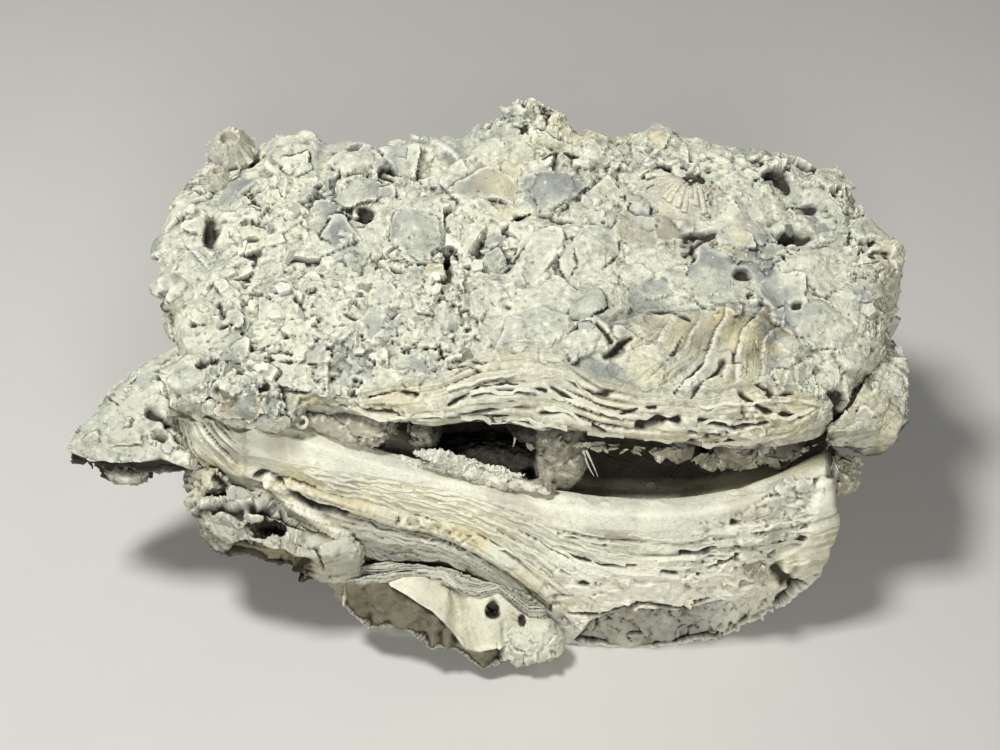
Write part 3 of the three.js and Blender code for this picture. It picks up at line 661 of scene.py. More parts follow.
VALVE_CRACKS = [
    ([(255, 476), (268, 474), (280, 482), (296, 494)], 3.4, 2.2),
    ([(300, 500), (322, 508), (345, 514)], 2.6, 1.6),
    ([(560, 612), (600, 616), (640, 604), (700, 612)], 2.0, 1.2),
    ([(680, 553), (700, 551), (712, 546)], 2.6, 1.5),
    ([(709, 566), (724, 563), (736, 556)], 2.2, 1.3),
    ([(576, 584), (589, 585)], 2.0, 1.0),
    ([(553, 533), (590, 541), (605, 545)], 1.6, 1.0),
    ([(560, 553), (600, 565), (636, 566)], 1.5, 0.9),
    ([(692, 605), (706, 600)], 2.0, 1.0),
    ([(782, 545), (796, 543), (806, 536)], 2.4, 1.4),
    ([(776, 570), (790, 582), (806, 592)], 9.0, 2.4),
    ([(662, 572), (676, 574)], 1.6, 0.9),
]


def valve_front(skin, front):
    """Smooth rim, fine leaves that run down to the right, an ochre ridge and grey wavy leaves under it, with
    painted shade on the turned-under band, the underside and the grooves.
    """
    co, px, py = skin.co, skin.px, skin.py
    rim, band, ochre, dark, low = (
        along(line, px) for line in (RIM_EDGE, BAND_EDGE, OCHRE_EDGE, DARK_EDGE, LOW_EDGE)
    )
    corner = smooth(px, 262, 226)
    bundle = np.clip((py - band) / (ochre - band), 0, 1)
    ridge = np.clip((py - ochre) / (dark - ochre), 0, 1)
    wavy = np.clip((py - dark) / (low - dark), 0, 1)
    under = smooth(py - low, 0, 10)
    turn = smooth(py - along(TURN_EDGE, px) - 5 * layered(co, 6, 2, 49), -2, 5) * smooth(px, 556, 580)
    flange_away, _ = path_distance(px, py, FLANGE_EDGE)
    flange = smooth(px - along([(455, 822), (498, 813), (524, 806), (545, 793), (560, 768)], py), -4, 7)
    flange = flange * (py > 470) * (1 - turn)
    band_mask = smooth(bundle, 0.12, 0.0) * (1 - corner)
    plain = smooth(px, 515, 590) * smooth(py - band, 26, 48) * (1 - flange)

    layer = 9 * bundle + 2 * ridge + 7 * wavy + 5 * np.clip((py - low) / 60, 0, 1)
    waved = smooth(px, 355, 375) * smooth(px, 500, 470) * np.clip(3 * wavy, 0, 1) * (1 - under)
    layer += 0.8 * waved * np.sin(px / 7 + 1.5 * noise(co, 9, 50))
    fine = smooth((ochre - band) / 9 * 0.24, 0.5, 1.6) * (bundle < 1) + (bundle >= 1)
    strength = front * (1 - band_mask) * (1 - 0.8 * plain) * (1 - 0.7 * flange) * fine
    turned = np.hypot(px - 300, py - 372) / 7.5
    layer = np.where(corner > 0.5, turned, layer)
    strength = np.maximum(strength, corner * front) * (1 - np.exp(-(((corner - 0.5) / 0.35) ** 2)))
    tone, groove = leaves(skin, layer, strength, 0.6 + 0.5 * corner, 33)
    skin.layer = 5 + 2.2 * layer + 0.6 * noise(co, 11, 34)
    uneven = 0.5 * layered(co * (0.6, 1, 1), 7, 4, 35) + 0.22 * noise(co, 1.6, 39)
    skin.rise += front * (1 - band_mask) * uneven
    lit = smooth(px, 225, 260) * smooth(px, 600, 520)
    skin.rise += front * 1.3 * np.sin(math.pi * ridge) * lit
    rubble(skin, 0.8 * front * np.sin(math.pi * ridge) * lit, 0.45, 51)
    skin.rise -= front * 1.1 * np.exp(-(((wavy - 0.1) / 0.18) ** 2)) * lit
    skin.rise -= front * (2.2 * under * smooth(px, 330, 360) * smooth(px, 560, 520) + 1.9 * turn)
    skin.rise += front * 1.6 * turn * layered(co * (1, 1, 0.6), 5, 4, 44)
    skin.layer *= 1 - turn
    skin.chips = np.maximum(skin.chips, 0.7 * front * np.maximum(turn, 0.5 * plain))
    skin.worn += front * (0.5 * band_mask + 0.8 * plain + 0.15 * flange)
    rising = smooth(py - along(RISING_TOP, px), -4, 4) * (px > 690)
    rising *= smooth(along(RISING_FOOT, px) - py, -4, 4)
    rising = np.maximum(rising * (1 - flange), 0.6 * plain)
    rubble(skin, 0.8 * front * rising * (1 - turn), 0.3, 53)
    fragments(skin, 130, 0.8, 3.0, front * rising + 1e-6, lift=0.3, lean=0.3)
    gap = np.exp(-((flange_away / 3) ** 2))
    skin.rise += front * 1.1 * flange - front * 1.2 * gap * smooth(noise(co, 5, 48), -0.3, 0.3)
    skin.rise -= 3.2 * smooth(px, 198, 172) * smooth(py, 470, 440)

    # Painted shade: the turned-under band is painted greyer and darker, less so to the right.
    shaded = turn * (1 - 0.6 * smooth(px, 690, 740))
    grey_leaves = (bundle >= 1) * (ridge >= 0.85) * smooth(px, 660, 600)
    skin.grey += front * (0.75 * grey_leaves * (0.6 + 0.6 * tone) + 0.5 * shaded + 0.1 * tone)
    skin.grey += front * 0.5 * smooth(noise(co, 7, 46), 0.35, 0.8) * (1 - band_mask) * (1 - 0.8 * plain)
    warm = 0.8 * np.sin(math.pi * np.clip(0.15 + 0.9 * ridge, 0, 1)) * lit
    warm = warm + 0.45 * smooth(bundle, 0.25, 0.7) * (tone > 0.45) * (1 - plain) + 0.3 * plain + 0.3 * flange
    skin.ochre += front * (1 - band_mask) * warm * smooth(noise(co, 9, 47), -0.7, 0.2)
    # Painted shade in the grooves between leaves, on the underside below the low edge and on the turned-under
    # band.
    skin.dirt_and_shade += strength * 0.4 * groove + front * (0.35 * under * lit + 0.45 * shaded)
    for path, width, depth in VALVE_CRACKS:
        crack(skin, path, width, depth)
    away, run = path_distance(px, py, ROLLED_STRAND)
    strand = np.clip(1 - (away / 6) ** 2, 0, 1) * front
    skin.rise += strand * (1.9 + 0.2 * np.sin(run * 1.5))
    skin.dirt_and_shade *= 1 - strand
    skin.grey *= 1 - strand


def lower_valve():
    """Front of growth leaves under a smooth rim, a smooth bowl inside painted dark with the gape's shade,
    rubble behind and below.
    """
    piece = fine_copy("lower_valve", 0.54, 14)
    skin = Skin(piece.data)
    co, up = skin.co, skin.normal
    rim = along(RIM_EDGE, skin.px)
    front = smooth(skin.facing, -0.25, 0.1) * smooth(skin.py, rim - 6, rim + 1) * (co[:, 1] < -8)
    bowl = (up[:, 2] > 0.2) * (1 - front) * smooth(co[:, 1], 24, 16)
    rough = (1 - front) * (1 - 0.92 * bowl) * np.where(co[:, 2] < 1.5, 0.1, 1)
    skin.chips = 0.8 * rough
    rubble(skin, rough, 1.2, 5)
    fragments(skin, 260, 3.0, 9.0, rough + 1e-4, lift=0.7, lean=0.2)
    fragments(skin, 400, 1.4, 3.4, rough + 1e-4, lift=0.5, lean=0.35)
    valve_front(skin, front)
    skin.grey += 0.3 * rough
    # Painted shade in the bowl behind the rim, darkest deep in the gape.
    skin.dirt_and_shade += 0.97 * bowl * smooth(rim - skin.py, 6, 32) * (skin.co[:, 1] > -34)
    skin.ochre += 0.4 * bowl * smooth(rim - skin.py, 2, 20)
    skin.settle()
    return thinned(piece, "lower_valve_shell", 196000)


# Smaller pieces


def gape_sediment():
    """Granular marl with crumbs and cracks, painted dark with shade where it lies deep in the gape and behind
    the crumb ridge.
    """
    piece = fine_copy("gape_sediment", 0.42, 16)
    skin = Skin(piece.data)
    everywhere = np.ones(len(skin.co))
    rubble(skin, everywhere * 0.7, 0.4, 8)
    fragments(skin, 260, 0.7, 2.0, everywhere, lift=0.4, lean=0.4)
    co, px, py = skin.co, skin.px, skin.py
    skin.rise += 0.25 * layered(co, 1.6, 2, 18)
    skin.grey += 0.35 * smooth(noise(co, 9, 3), -0.2, 0.6)
    skin.ochre += 0.5 * smooth(noise(co, 11, 4), 0, 0.6) * (co[:, 0] < 0)
    # Painted shade: darker inside the gape, deeper back and toward its roof.
    deep = 0.06 + 0.2 * smooth(px, 380, 430) + 0.75 * smooth(co[:, 1], -28, -18)
    skin.dirt_and_shade += deep + 0.3 * smooth(py, 470, 440) * (px > 400)
    ridge = along(CRUMB_LINE, px)
    # Painted shade in the cavity behind the crumb ridge.
    behind = smooth(ridge - py, 4, 9) * smooth(px, 428, 440) * smooth(px, 540, 528)
    skin.dirt_and_shade += 0.9 * behind
    crest = smooth(py - ridge, -6, -1) * smooth(px, 392, 404) * smooth(px, 556, 544)
    for mark in (skin.dirt_and_shade, skin.grey, skin.ochre):
        mark *= 1 - crest
    skin.worn += 0.8 * crest
    skin.settle()
    return thinned(piece, "gape_marl", 80000)


def small_shell(node, name, seed, rough=0.5, layers=8, leaf=0.5, warm=0.3, detail=None):
    """A smaller cemented oyster: a worn plate in front, uneven growth edges, rubble where it is set."""
    piece = fine_copy(node, 0.42, 14)
    skin = Skin(piece.data)
    co, up = skin.co, skin.normal
    high, size = co[:, 2].max(), np.ptp(co[:, 2])
    share = (high - co[:, 2] + 0.15 * co[:, 0]) / size
    calm = smooth(skin.facing, 0.0, 0.4) * (1 - rough)
    wall = smooth(np.abs(up[:, 2]), 0.85, 0.6)
    skin.chips = (1 - calm) * 0.9
    rubble(skin, (1 - calm) * (1 - 0.3 * wall), 0.7, seed)
    fragments(skin, 50, 2.5, 6.0, (1 - 0.8 * calm) + 1e-4, lift=0.5, lean=0.2)
    fragments(skin, 160, 0.9, 2.4, 1 - 0.9 * calm, lift=0.4, lean=0.4)
    tone, groove = leaves(skin, share * layers, wall * leaf, 0.8, seed)
    skin.rise += 0.4 * layered(co, 6, 4, seed + 5) + 0.12 * noise(co, 1.3, seed + 8)
    skin.layer += share * layers * 3 + 0.8 * noise(co, 10, seed + 9)
    # Painted shade: faces turned downward are painted greyer and darker, and so are the grooves between
    # growth edges.
    skin.grey += 0.35 * smooth(noise(co, 12, seed + 6), -0.1, 0.6) + 0.35 * smooth(-up[:, 2], 0, 0.5)
    skin.ochre += warm * smooth(noise(co, 10, seed + 7), -0.2, 0.6)
    skin.dirt_and_shade += 0.3 * groove * wall * leaf + 0.7 * smooth(-up[:, 2], -0.1, 0.4)
    if detail:
        detail(skin)
    skin.settle()
    return thinned(piece, name, 60000)


def lobe(skin):
    """The shell that sticks out on the left: a slit and a hollow in its plate, a ragged underside painted
    dark with shade.
    """
    px, py, co = skin.px, skin.py, skin.co
    crack(skin, [(128, 386), (136, 376)], 1.8, 1.0)
    crack(skin, [(149, 414), (160, 418), (172, 425)], 5.0, 2.4)
    crack(skin, [(108, 398), (118, 405)], 1.4, 0.6)
    below = smooth(py - along(LOBE_FOOT, px) - 3 * noise(co, 4, 12), -2, 3) * smooth(skin.facing, -0.6, -0.2)
    lump = np.exp(-(((px - 128) / 25) ** 4) - ((py - 480) / 8) ** 4)
    skin.rise -= 1.8 * below * (1 - lump)
    skin.rise += lump * (1.0 + 1.2 * layered(co, 4, 3, 13))
    # Painted shade on the underside.
    skin.dirt_and_shade += 0.75 * below * (1 - lump)
    skin.dirt_and_shade *= 1 - 0.6 * lump
    skin.chips = np.maximum(skin.chips, 0.6 * below)


def caves(skin):
    """Ledges, caves painted dark with shade and the white flange of the shell under the left end; its shown
    side is painted greyer and duller for the shade it sits in.
    """
    px, py = skin.px, skin.py
    shown = smooth(skin.facing, -0.2, 0.1)
    # Painted shade: the whole shown side is painted greyer and kept from highlights.
    skin.grey += 0.5 * shown
    skin.worn -= 0.35
    # Painted shade in the caves.
    for path, width, depth in CAVES:
        crack(skin, path, width, depth, 0.9)
    below = shown * smooth(py - along(HOLLOW_TOP, px), -1, 4) * smooth(px, 222, 232) * smooth(px, 322, 308)
    # Painted shade, partly brown stain, on the hollow underside.
    skin.rise -= 1.8 * below
    skin.dirt_and_shade += 0.5 * below
    skin.ochre += 0.5 * below
    ledge, _ = path_distance(px, py, UNDER_LEDGE)
    skin.rise += 0.8 * shown * np.exp(-((ledge / 4) ** 2)) * (1 + 0.6 * layered(skin.co, 5, 3, 14))
    blocks, _ = facets(skin.co * (1, 1, 0.8), 3.4, 81)
    ground = 0.35 * blocks + 0.35 * layered(skin.co, 2.2, 3, 83)
    skin.rise += ground * shown * smooth(px, 316, 306)
    flange = shown * smooth(px, 308, 316) * smooth(py, 530, 538)
    skin.rise += 0.6 * flange
    skin.dirt_and_shade *= 1 - 0.8 * flange
    skin.chips *= 1 - np.maximum(below, flange)


def frilled_shell():
    """A smooth folded apron over a brown shaded underside, with a rough lump at its right end and a hole."""
    piece = fine_copy("frilled_shell", 0.38, 12)
    skin = Skin(piece.data)
    co, px, py = skin.co, skin.px, skin.py
    top, edge = along(APRON_TOP, px), along(APRON_EDGE, px)
    shown = smooth(skin.facing, -0.1, 0.15)
    lump = smooth(px, 499, 506) * smooth(py, 616, 624)
    apron = shown * smooth(py - top, -1, 2) * smooth(edge - py, -1, 1) * smooth(px, 384, 392) * (1 - lump)
    above = shown * (1 - apron) * (1 - lump) * smooth(top - py, -1, 2)
    rest = shown * (1 - apron) * (1 - lump) - above
    rubble(skin, 0.5 * lump + 0.4 * (1 - shown), 0.5, 69)
    fragments(skin, 60, 0.7, 2.4, lump + 1e-4, lift=0.4, lean=0.4)
    fold, _ = path_distance(px, py, APRON_FOLD)
    skin.rise += apron * (0.5 - 1.6 * np.exp(-((fold / 5) ** 2)) - 1.6 * np.exp(-((fold / 18) ** 2)))
    skin.rise += apron * (0.5 * layered(co, 9, 3, 70) + 0.6 * np.exp(-(((edge - py) / 4) ** 2)))
    folds = 0.55 * np.sin(px / 4.2 + 4 * noise(co, 9, 71)) + 1.1 * layered(co, 6, 3, 72)
    skin.rise += rest * (folds - 0.8 + 0.5 * layered(co, 2.0, 2, 76)) - 0.4 * above
    skin.chips = np.maximum(skin.chips, 0.06 * rest * (py > edge))
    skin.layer += above * (3 + 0.5 * (top - py))
    tone, groove = leaves(skin, (top - py) / 3.2, above, 0.7, 75)
    # Painted shade in the grooves between the leaves above the apron.
    skin.dirt_and_shade += 0.3 * above * groove
    # Painted shade, partly brown stain: the shaded underside is painted greyer, darker and browner, and faces
    # turned downward darker.
    skin.grey += (0.25 + 0.45 * tone) * above + 0.35 * rest + 0.2 * apron * smooth(noise(co, 8, 73), 0, 0.6)
    skin.dirt_and_shade += 0.72 * rest + 0.12 * above + 0.3 * (1 - above) * smooth(-skin.normal[:, 2], 0.1, 0.6)
    skin.ochre += 0.5 * rest + 0.15 * apron + 0.2 * above * smooth(noise(co, 5, 74), 0, 0.5)
    # The two holes are painted very dark with the shade inside them.
    for place, sizes, depth in (((-1.6, -48.9, 17), (1.6, 1.5), 0.6), ((5.2, -50, 12), (0.8, 1.2), 0.6)):
        hollow(skin, place, sizes, depth, 3.0)
    skin.settle()
    return thinned(piece, "frilled_oyster", 60000)


def cemented_body(node, name, seed, voxel):
    """Body of the scallop or of a barnacle, ready to carry its ribs."""
    piece = fine_copy(node, voxel, 6)
    skin = Skin(piece.data)
    skin.rise += 0.3 * layered(skin.co, 2.4, 3, seed)
    if node == "scallop_shell":
        broken = smooth(skin.co[:, 0], 47.5, 50)
        rubble(skin, broken, 0.5, seed)
        fragments(skin, 40, 1.0, 3.0, broken + 1e-4, lift=0.8, lean=0.4)
        # The hole is painted dark with the shade inside it.
        hollow(skin, (47.2, 31.4, 81), (2.6, 2.4), 2.6, 1.4)
    skin.grey += 0.3 + 0.3 * noise(skin.co, 3, seed + 3)
    skin.ochre += 0.3 * smooth(noise(skin.co, 4, seed + 4), 0, 0.6)
    skin.dirt_and_shade += 0.12
    skin.settle(False)
    return thinned(piece, name, 16000)


# Geometry nodes


def add(tree, kind, given=()):
    """Adds a node with its settings, input values and links."""
    made = tree.nodes.new(kind)
    for name, value in dict(given).items():
        if isinstance(value, bpy.types.NodeSocket):
            tree.links.new(value, made.inputs[name])
        elif isinstance(name, str) and hasattr(made, name):
            setattr(made, name, value)
        else:
            made.inputs[name].default_value = value
    return made


def sized_tree(name, sizes):
    """A geometry tree with named size inputs: the tree, what it is given, and a way to end it."""
    tree = bpy.data.node_groups.new(name, "GeometryNodeTree")
    tree.interface.new_socket("Geometry", in_out="INPUT", socket_type="NodeSocketGeometry")
    for label, value in sizes.items():
        kind = "NodeSocketInt" if isinstance(value, int) else "NodeSocketFloat"
        tree.interface.new_socket(label, in_out="INPUT", socket_type=kind).default_value = value
    tree.interface.new_socket("Material", in_out="INPUT", socket_type="NodeSocketMaterial")
    tree.interface.new_socket("Geometry", in_out="OUTPUT", socket_type="NodeSocketGeometry")
    given = add(tree, "NodeGroupInput").outputs

    def end(shape):
        scaled = add(tree, "ShaderNodeMath", {"operation": "MULTIPLY", 0: given["Ragged mm"], 1: 2 * MM})
        crinkle = add(tree, "ShaderNodeTexNoise", {"Scale": 900.0, "Detail": 1.0}).outputs["Color"]
        centred = add(tree, "ShaderNodeVectorMath", {"operation": "SUBTRACT", 0: crinkle, 1: (0.5, 0.5, 0.5)})
        offset = {"operation": "SCALE", 0: centred.outputs[0], "Scale": scaled.outputs[0]}
        real = add(tree, "GeometryNodeRealizeInstances", {"Geometry": shape})
        worn = add(
            tree,
            "GeometryNodeSetPosition",
            {"Geometry": real.outputs[0], "Offset": add(tree, "ShaderNodeVectorMath", offset).outputs[0]},
        )
        painted = {"Geometry": worn.outputs[0], "Material": given["Material"]}
        add(tree, "NodeGroupOutput", {0: add(tree, "GeometryNodeSetMaterial", painted).outputs[0]})

    return tree, given, end


def chip_tree():
    """Shell chips scattered where the surface is marked for them: thin angular plates bedded at a slant."""
    sizes = {
        "Per square cm": 30.0,
        "Radius mm": 1.0,
        "Thickness mm": 0.3,
        "Slant": 0.5,
        "Sides": 6,
        "Seed": 1,
        "Ragged mm": 0.15,
    }
    tree, given, end = sized_tree("shell_chips", sizes)
    marked = add(tree, "GeometryNodeInputNamedAttribute", {"data_type": "FLOAT", "Name": "chips"}).outputs[0]
    share = add(tree, "ShaderNodeMath", {"operation": "MULTIPLY", 0: given["Per square cm"], 1: 10000.0})
    density = add(tree, "ShaderNodeMath", {"operation": "MULTIPLY", 0: share.outputs[0], 1: marked})
    seats = {"Mesh": given["Geometry"], "Density": density.outputs[0], "Seed": given["Seed"]}
    points = add(tree, "GeometryNodeDistributePointsOnFaces", seats).outputs
    radius = add(tree, "ShaderNodeMath", {"operation": "MULTIPLY", 0: given["Radius mm"], 1: MM})
    depth = add(tree, "ShaderNodeMath", {"operation": "MULTIPLY", 0: given["Thickness mm"], 1: MM})
    shape = {"fill_type": "TRIANGLE_FAN", "Vertices": given["Sides"]}
    shape.update({"Radius": radius.outputs[0], "Depth": depth.outputs[0]})
    chip = add(tree, "GeometryNodeMeshCylinder", shape).outputs["Mesh"]
    leaning = {"data_type": "FLOAT_VECTOR", 0: (-1, -1, -3.14), 1: (1, 1, 3.14), "Seed": given["Seed"]}
    lean = add(tree, "FunctionNodeRandomValue", leaning).outputs[0]
    limits = add(tree, "ShaderNodeCombineXYZ", {"X": given["Slant"], "Y": given["Slant"], "Z": 1.0})
    turned = add(tree, "ShaderNodeVectorMath", {"operation": "MULTIPLY", 0: lean, 1: limits.outputs[0]})
    by = add(tree, "FunctionNodeEulerToRotation", {0: turned.outputs[0]}).outputs[0]
    turn = {"rotation_space": "LOCAL", "Rotation": points["Rotation"], "Rotate By": by}
    spread = {"data_type": "FLOAT_VECTOR", 0: (0.4, 0.3, 0.7), 1: (1.35, 0.9, 1.3), "Seed": given["Seed"]}
    seated = {
        "Points": points["Points"],
        "Instance": chip,
        "Rotation": add(tree, "FunctionNodeRotateRotation", turn).outputs[0],
        "Scale": add(tree, "FunctionNodeRandomValue", spread).outputs[0],
    }
    chips = add(tree, "GeometryNodeInstanceOnPoints", seated).outputs[0]
    tone = add(tree, "FunctionNodeRandomValue", {"data_type": "FLOAT", 2: -0.4, 3: 0.9}).outputs[1]
    marks = {"data_type": "FLOAT", "domain": "INSTANCE", "Geometry": chips, "Name": "grey", "Value": tone}
    end(add(tree, "GeometryNodeStoreNamedAttribute", marks).outputs[0])
    return tree


def cord_tree():
    """Ribs, tubes and blades: a round or angular section carried along paths, as wide as each path says."""
    tree, given, end = sized_tree("cords", {"Width scale": 1.0, "Sides": 6, "Ragged mm": 0.1})
    width = add(tree, "GeometryNodeInputNamedAttribute", {"data_type": "FLOAT", "Name": "width"}).outputs[0]
    scale = add(tree, "ShaderNodeMath", {"operation": "MULTIPLY", 0: width, 1: given["Width scale"]})
    section = add(tree, "GeometryNodeCurvePrimitiveCircle", {"Resolution": given["Sides"], "Radius": MM})
    path = add(tree, "GeometryNodeMeshToCurve", {"Mesh": given["Geometry"]}).outputs[0]
    sweep = {"Curve": path, "Profile Curve": section.outputs[0], "Scale": scale.outputs[0], "Fill Caps": True}
    end(add(tree, "GeometryNodeCurveToMesh", sweep).outputs[0])
    return tree


def leaf_tree():
    """Edges of growth leaves: thin ragged blades that stand out from the surface along paths."""
    sizes = {"Reach mm": 1.2, "Thickness mm": 0.3, "Break mm": 3.0, "Ragged mm": 0.1}
    tree, given, end = sized_tree("leaf_edges", sizes)
    out = {"data_type": "FLOAT_VECTOR", "Name": "out"}
    outwards = add(tree, "GeometryNodeInputNamedAttribute", out).outputs[0]
    breaks = add(tree, "ShaderNodeMath", {"operation": "DIVIDE", 0: 1 / MM, 1: given["Break mm"]})
    wave = add(tree, "ShaderNodeTexNoise", {"Scale": breaks.outputs[0], "Detail": 3.0}).outputs["Fac"]
    spans = {"Value": wave, "From Min": 0.38, "From Max": 0.62, "To Min": 0.35 * MM, "To Max": 1.0 * MM}
    uneven = add(tree, "ShaderNodeMapRange", spans).outputs["Result"]
    reach = add(tree, "ShaderNodeMath", {"operation": "MULTIPLY", 0: uneven, 1: given["Reach mm"]})
    blade = {"mode": "EDGES", "Mesh": given["Geometry"], "Offset": outwards, "Offset Scale": reach.outputs[0]}
    sheet = add(tree, "GeometryNodeExtrudeMesh", blade).outputs["Mesh"]
    depth = add(tree, "ShaderNodeMath", {"operation": "MULTIPLY", 0: given["Thickness mm"], 1: MM})
    thick = {"mode": "FACES", "Mesh": sheet, "Offset Scale": depth.outputs[0], "Individual": False}
    top = add(tree, "GeometryNodeExtrudeMesh", thick).outputs["Mesh"]
    back = add(tree, "GeometryNodeFlipFaces", {"Mesh": sheet}).outputs[0]
    both = add(tree, "GeometryNodeJoinGeometry", {"Geometry": top})
    tree.links.new(back, both.inputs["Geometry"])
    closed = {"Geometry": both.outputs[0], "Distance": 0.01 * MM}
    end(add(tree, "GeometryNodeMergeByDistance", closed).outputs[0])
    return tree


def grow(tree, host, name, material, sizes):
    """What a geometry tree makes on a host, as one plain mesh."""
    modifier = host.modifiers.new("grow", "NODES")
    modifier.node_group = tree
    keys = {item.name: item.identifier for item in tree.interface.items_tree if item.in_out == "INPUT"}
    for label, value in sizes.items():
        modifier[keys[label]] = value
    modifier[keys["Material"]] = material
    made = evaluated_copy(host, name)
    drop(host)
    return made


def marked(piece, mark, value):
    """Gives every point of a piece the same value of a mark."""
    stored = piece.data.attributes.get(mark) or piece.data.attributes.new(mark, "FLOAT", "POINT")
    stored.data.foreach_set("value", np.full(len(stored.data), value, np.float32))


def host_of(paths):
    """Paths as a mesh of edges: each path is its points in mm, their widths and the way they face."""
    points = np.concatenate([path[0] for path in paths])
    widths = np.concatenate([np.broadcast_to(path[1], len(path[0])) for path in paths])
    outs = np.concatenate([np.broadcast_to(path[2], path[0].shape) for path in paths])
    edges, start = [], 0
    for path in paths:
        edges += [(i, i + 1) for i in range(start, start + len(path[0]) - 1)]
        start += len(path[0])
    mesh = bpy.data.meshes.new("paths")
    mesh.from_pydata(((points + SHIFT) * MM).tolist(), edges, [])
    mesh.attributes.new("width", "FLOAT", "POINT").data.foreach_set("value", widths.astype(np.float32))
    facing = mesh.attributes.new("out", "FLOAT_VECTOR", "POINT").data
    facing.foreach_set("vector", outs.astype(np.float32).ravel())
    return placed(mesh, "paths")


class Surface:
    """A finished piece, to seat ribs and leaves on where they show in the photograph or from above."""

    def __init__(self, piece):
        self.skin = Skin(piece.data)
        self.front = self.tree(self.skin.facing > 0.1, self.skin.px, self.skin.py)
        self.top = self.tree(self.skin.normal[:, 2] > 0.1, self.skin.co[:, 0], self.skin.co[:, 1])

    @staticmethod
    def tree(chosen, a, b):
        index = np.flatnonzero(chosen)
        tree = KDTree(len(index))
        for i in index:
            tree.insert((a[i], b[i], 0), i)
        tree.balance()
        return tree

    def seen(self, px, py):
        """The point nearest the viewer at a pixel of the photograph."""
        found = [i for _, i, _ in self.front.find_n((px, py, 0), 6)]
        return max(found, key=lambda i: self.skin.co[i] @ TOWARD)

    def under(self, x, y):
        """The highest point at a place seen from above."""
        found = [i for _, i, _ in self.top.find_n((x, y, 0), 4)]
        return max(found, key=lambda i: self.skin.co[i, 2])


def leaf_paths(surface, first, last, shares, limits, root=0.25, lift=0.35):
    """Paths of leaf edges between two lines of the photograph, broken into uneven lengths."""
    paths = []
    for share in shares:
        x = limits[0] + RANDOM.uniform(0, 25)
        while x < limits[1] - 10:
            end = min(x + RANDOM.uniform(25, 110), limits[1])
            across = np.arange(x, end, 3.5)
            wobble = 1.6 * np.sin(across / RANDOM.uniform(9, 16) + share * 40)
            down = (1 - share) * along(first, across) + share * along(last, across) + wobble
            index = [surface.seen(a, b) for a, b in zip(across, down)]
            points, normal = surface.skin.co[index], surface.skin.normal[index].mean(0)
            straight = np.abs(np.diff(points, axis=0)).max(initial=0) < 3.0
            if len(points) > 4 and straight:
                points[1:-1] = (points[:-2] + points[1:-1] + points[2:]) / 3
                normal /= np.linalg.norm(normal)
                down = np.array([0, 0, -1]) + normal[2] * normal
                paths.append((points - root * normal, 1.0, down + lift * normal))
            x = end + RANDOM.uniform(4, 26)
    return paths


def scallop_ribs(surface):
    """Ribs that spread from the apex of the scallop over its back."""
    paths = []
    for turn in np.linspace(-1.8, 0.2, 14) + RANDOM.uniform(-0.05, 0.05, 14):
        reach = np.linspace(2.7, RANDOM.uniform(9.5, 13.2) - 0.9 * abs(turn), 10)
        spots = [(47 + r * math.sin(turn), 33.5 - r * math.cos(turn)) for r in reach]
        points = np.array([surface.skin.co[surface.under(x, y)] for x, y in spots])
        points[:, 0], points[:, 1] = np.array(spots).T
        points[1:-1] = (points[:-2] + points[1:-1] + points[2:]) / 3
        paths.append((points - (0, 0, 0.15), 0.28 + 0.052 * reach, (0, 0, 1)))
    return paths


def barnacle_ribs(centre, foot, mouth, height, count):
    """Ribs of the wall plates of a barnacle, from its foot to its mouth."""
    axis, side = np.array([0, -0.276, 0.961]), np.array([0, -0.961, -0.276])
    rise = np.linspace(0, 1, 7)
    paths = []
    for turn in np.arange(count) * 2 * math.pi / count + RANDOM.uniform(-0.08, 0.08, count):
        radius = foot + (mouth - foot) * rise**0.8
        ring = np.outer(radius * math.cos(turn), (1, 0, 0)) + np.outer(radius * math.sin(turn), side)
        points = np.array(centre) + ring + np.outer(rise * height * 1.1 - 0.1 * height, axis)
        paths.append((points, foot * (0.15 - 0.08 * rise) * RANDOM.uniform(0.5, 1.3), (0, 0, 1)))
    return paths


# White needles in the gape: root pixel, tip pixel, depth, width in mm at the root
NEEDLES = [
    ((515, 432), (513, 447), -24, 0.5),
    ((583, 450), (594, 476), -27, 0.4),
    ((586, 450), (598, 477), -27.4, 0.35),
    ((598, 497), (606, 503), -28, 0.5),
]
# Fans of shell that hang or stick out: first and last pixel of their roots, depth, direction, number, length
FANS = [
    ((650, 452), (684, 454), -28.5, (0.0, -0.1, -1), 12, 4.8),
    ((600, 449), (640, 452), -28, (0.2, 0, -1), 9, 1.8),
    ((545, 440), (600, 448), -27.5, (0, -0.2, -1), 12, 2.0),
    ((700, 458), (775, 458), -25, (0, 0, -1), 26, 5.0),
    ((705, 462), (770, 462), -22, (0.2, 0, -1), 20, 6.0),
    ((770, 458), (815, 450), -24, (0.2, 0, -1), 16, 4.4),
    ((800, 476), (838, 468), -25.5, (0.2, -0.8, 0.6), 7, 4.0),
    ((806, 486), (846, 476), -25, (0.5, -0.8, -0.2), 8, 4.0),
    ((818, 468), (850, 462), -24, (0.6, -0.6, 0.4), 6, 3.4),
    ((832, 486), (856, 470), -22, (0.8, -0.5, -0.4), 7, 3.4),
    ((828, 462), (854, 458), -23, (0.2, -0.5, -0.9), 11, 5.4),
    ((832, 484), (850, 482), -22, (0.2, -0.4, -1), 9, 5.4),
    ((753, 564), (763, 568), -43.4, (-0.2, -0.35, -0.95), 9, 4.6),
    ((535, 444), (541, 449), -26.5, (-0.5, -0.2, -0.7), 5, 3.2),
]


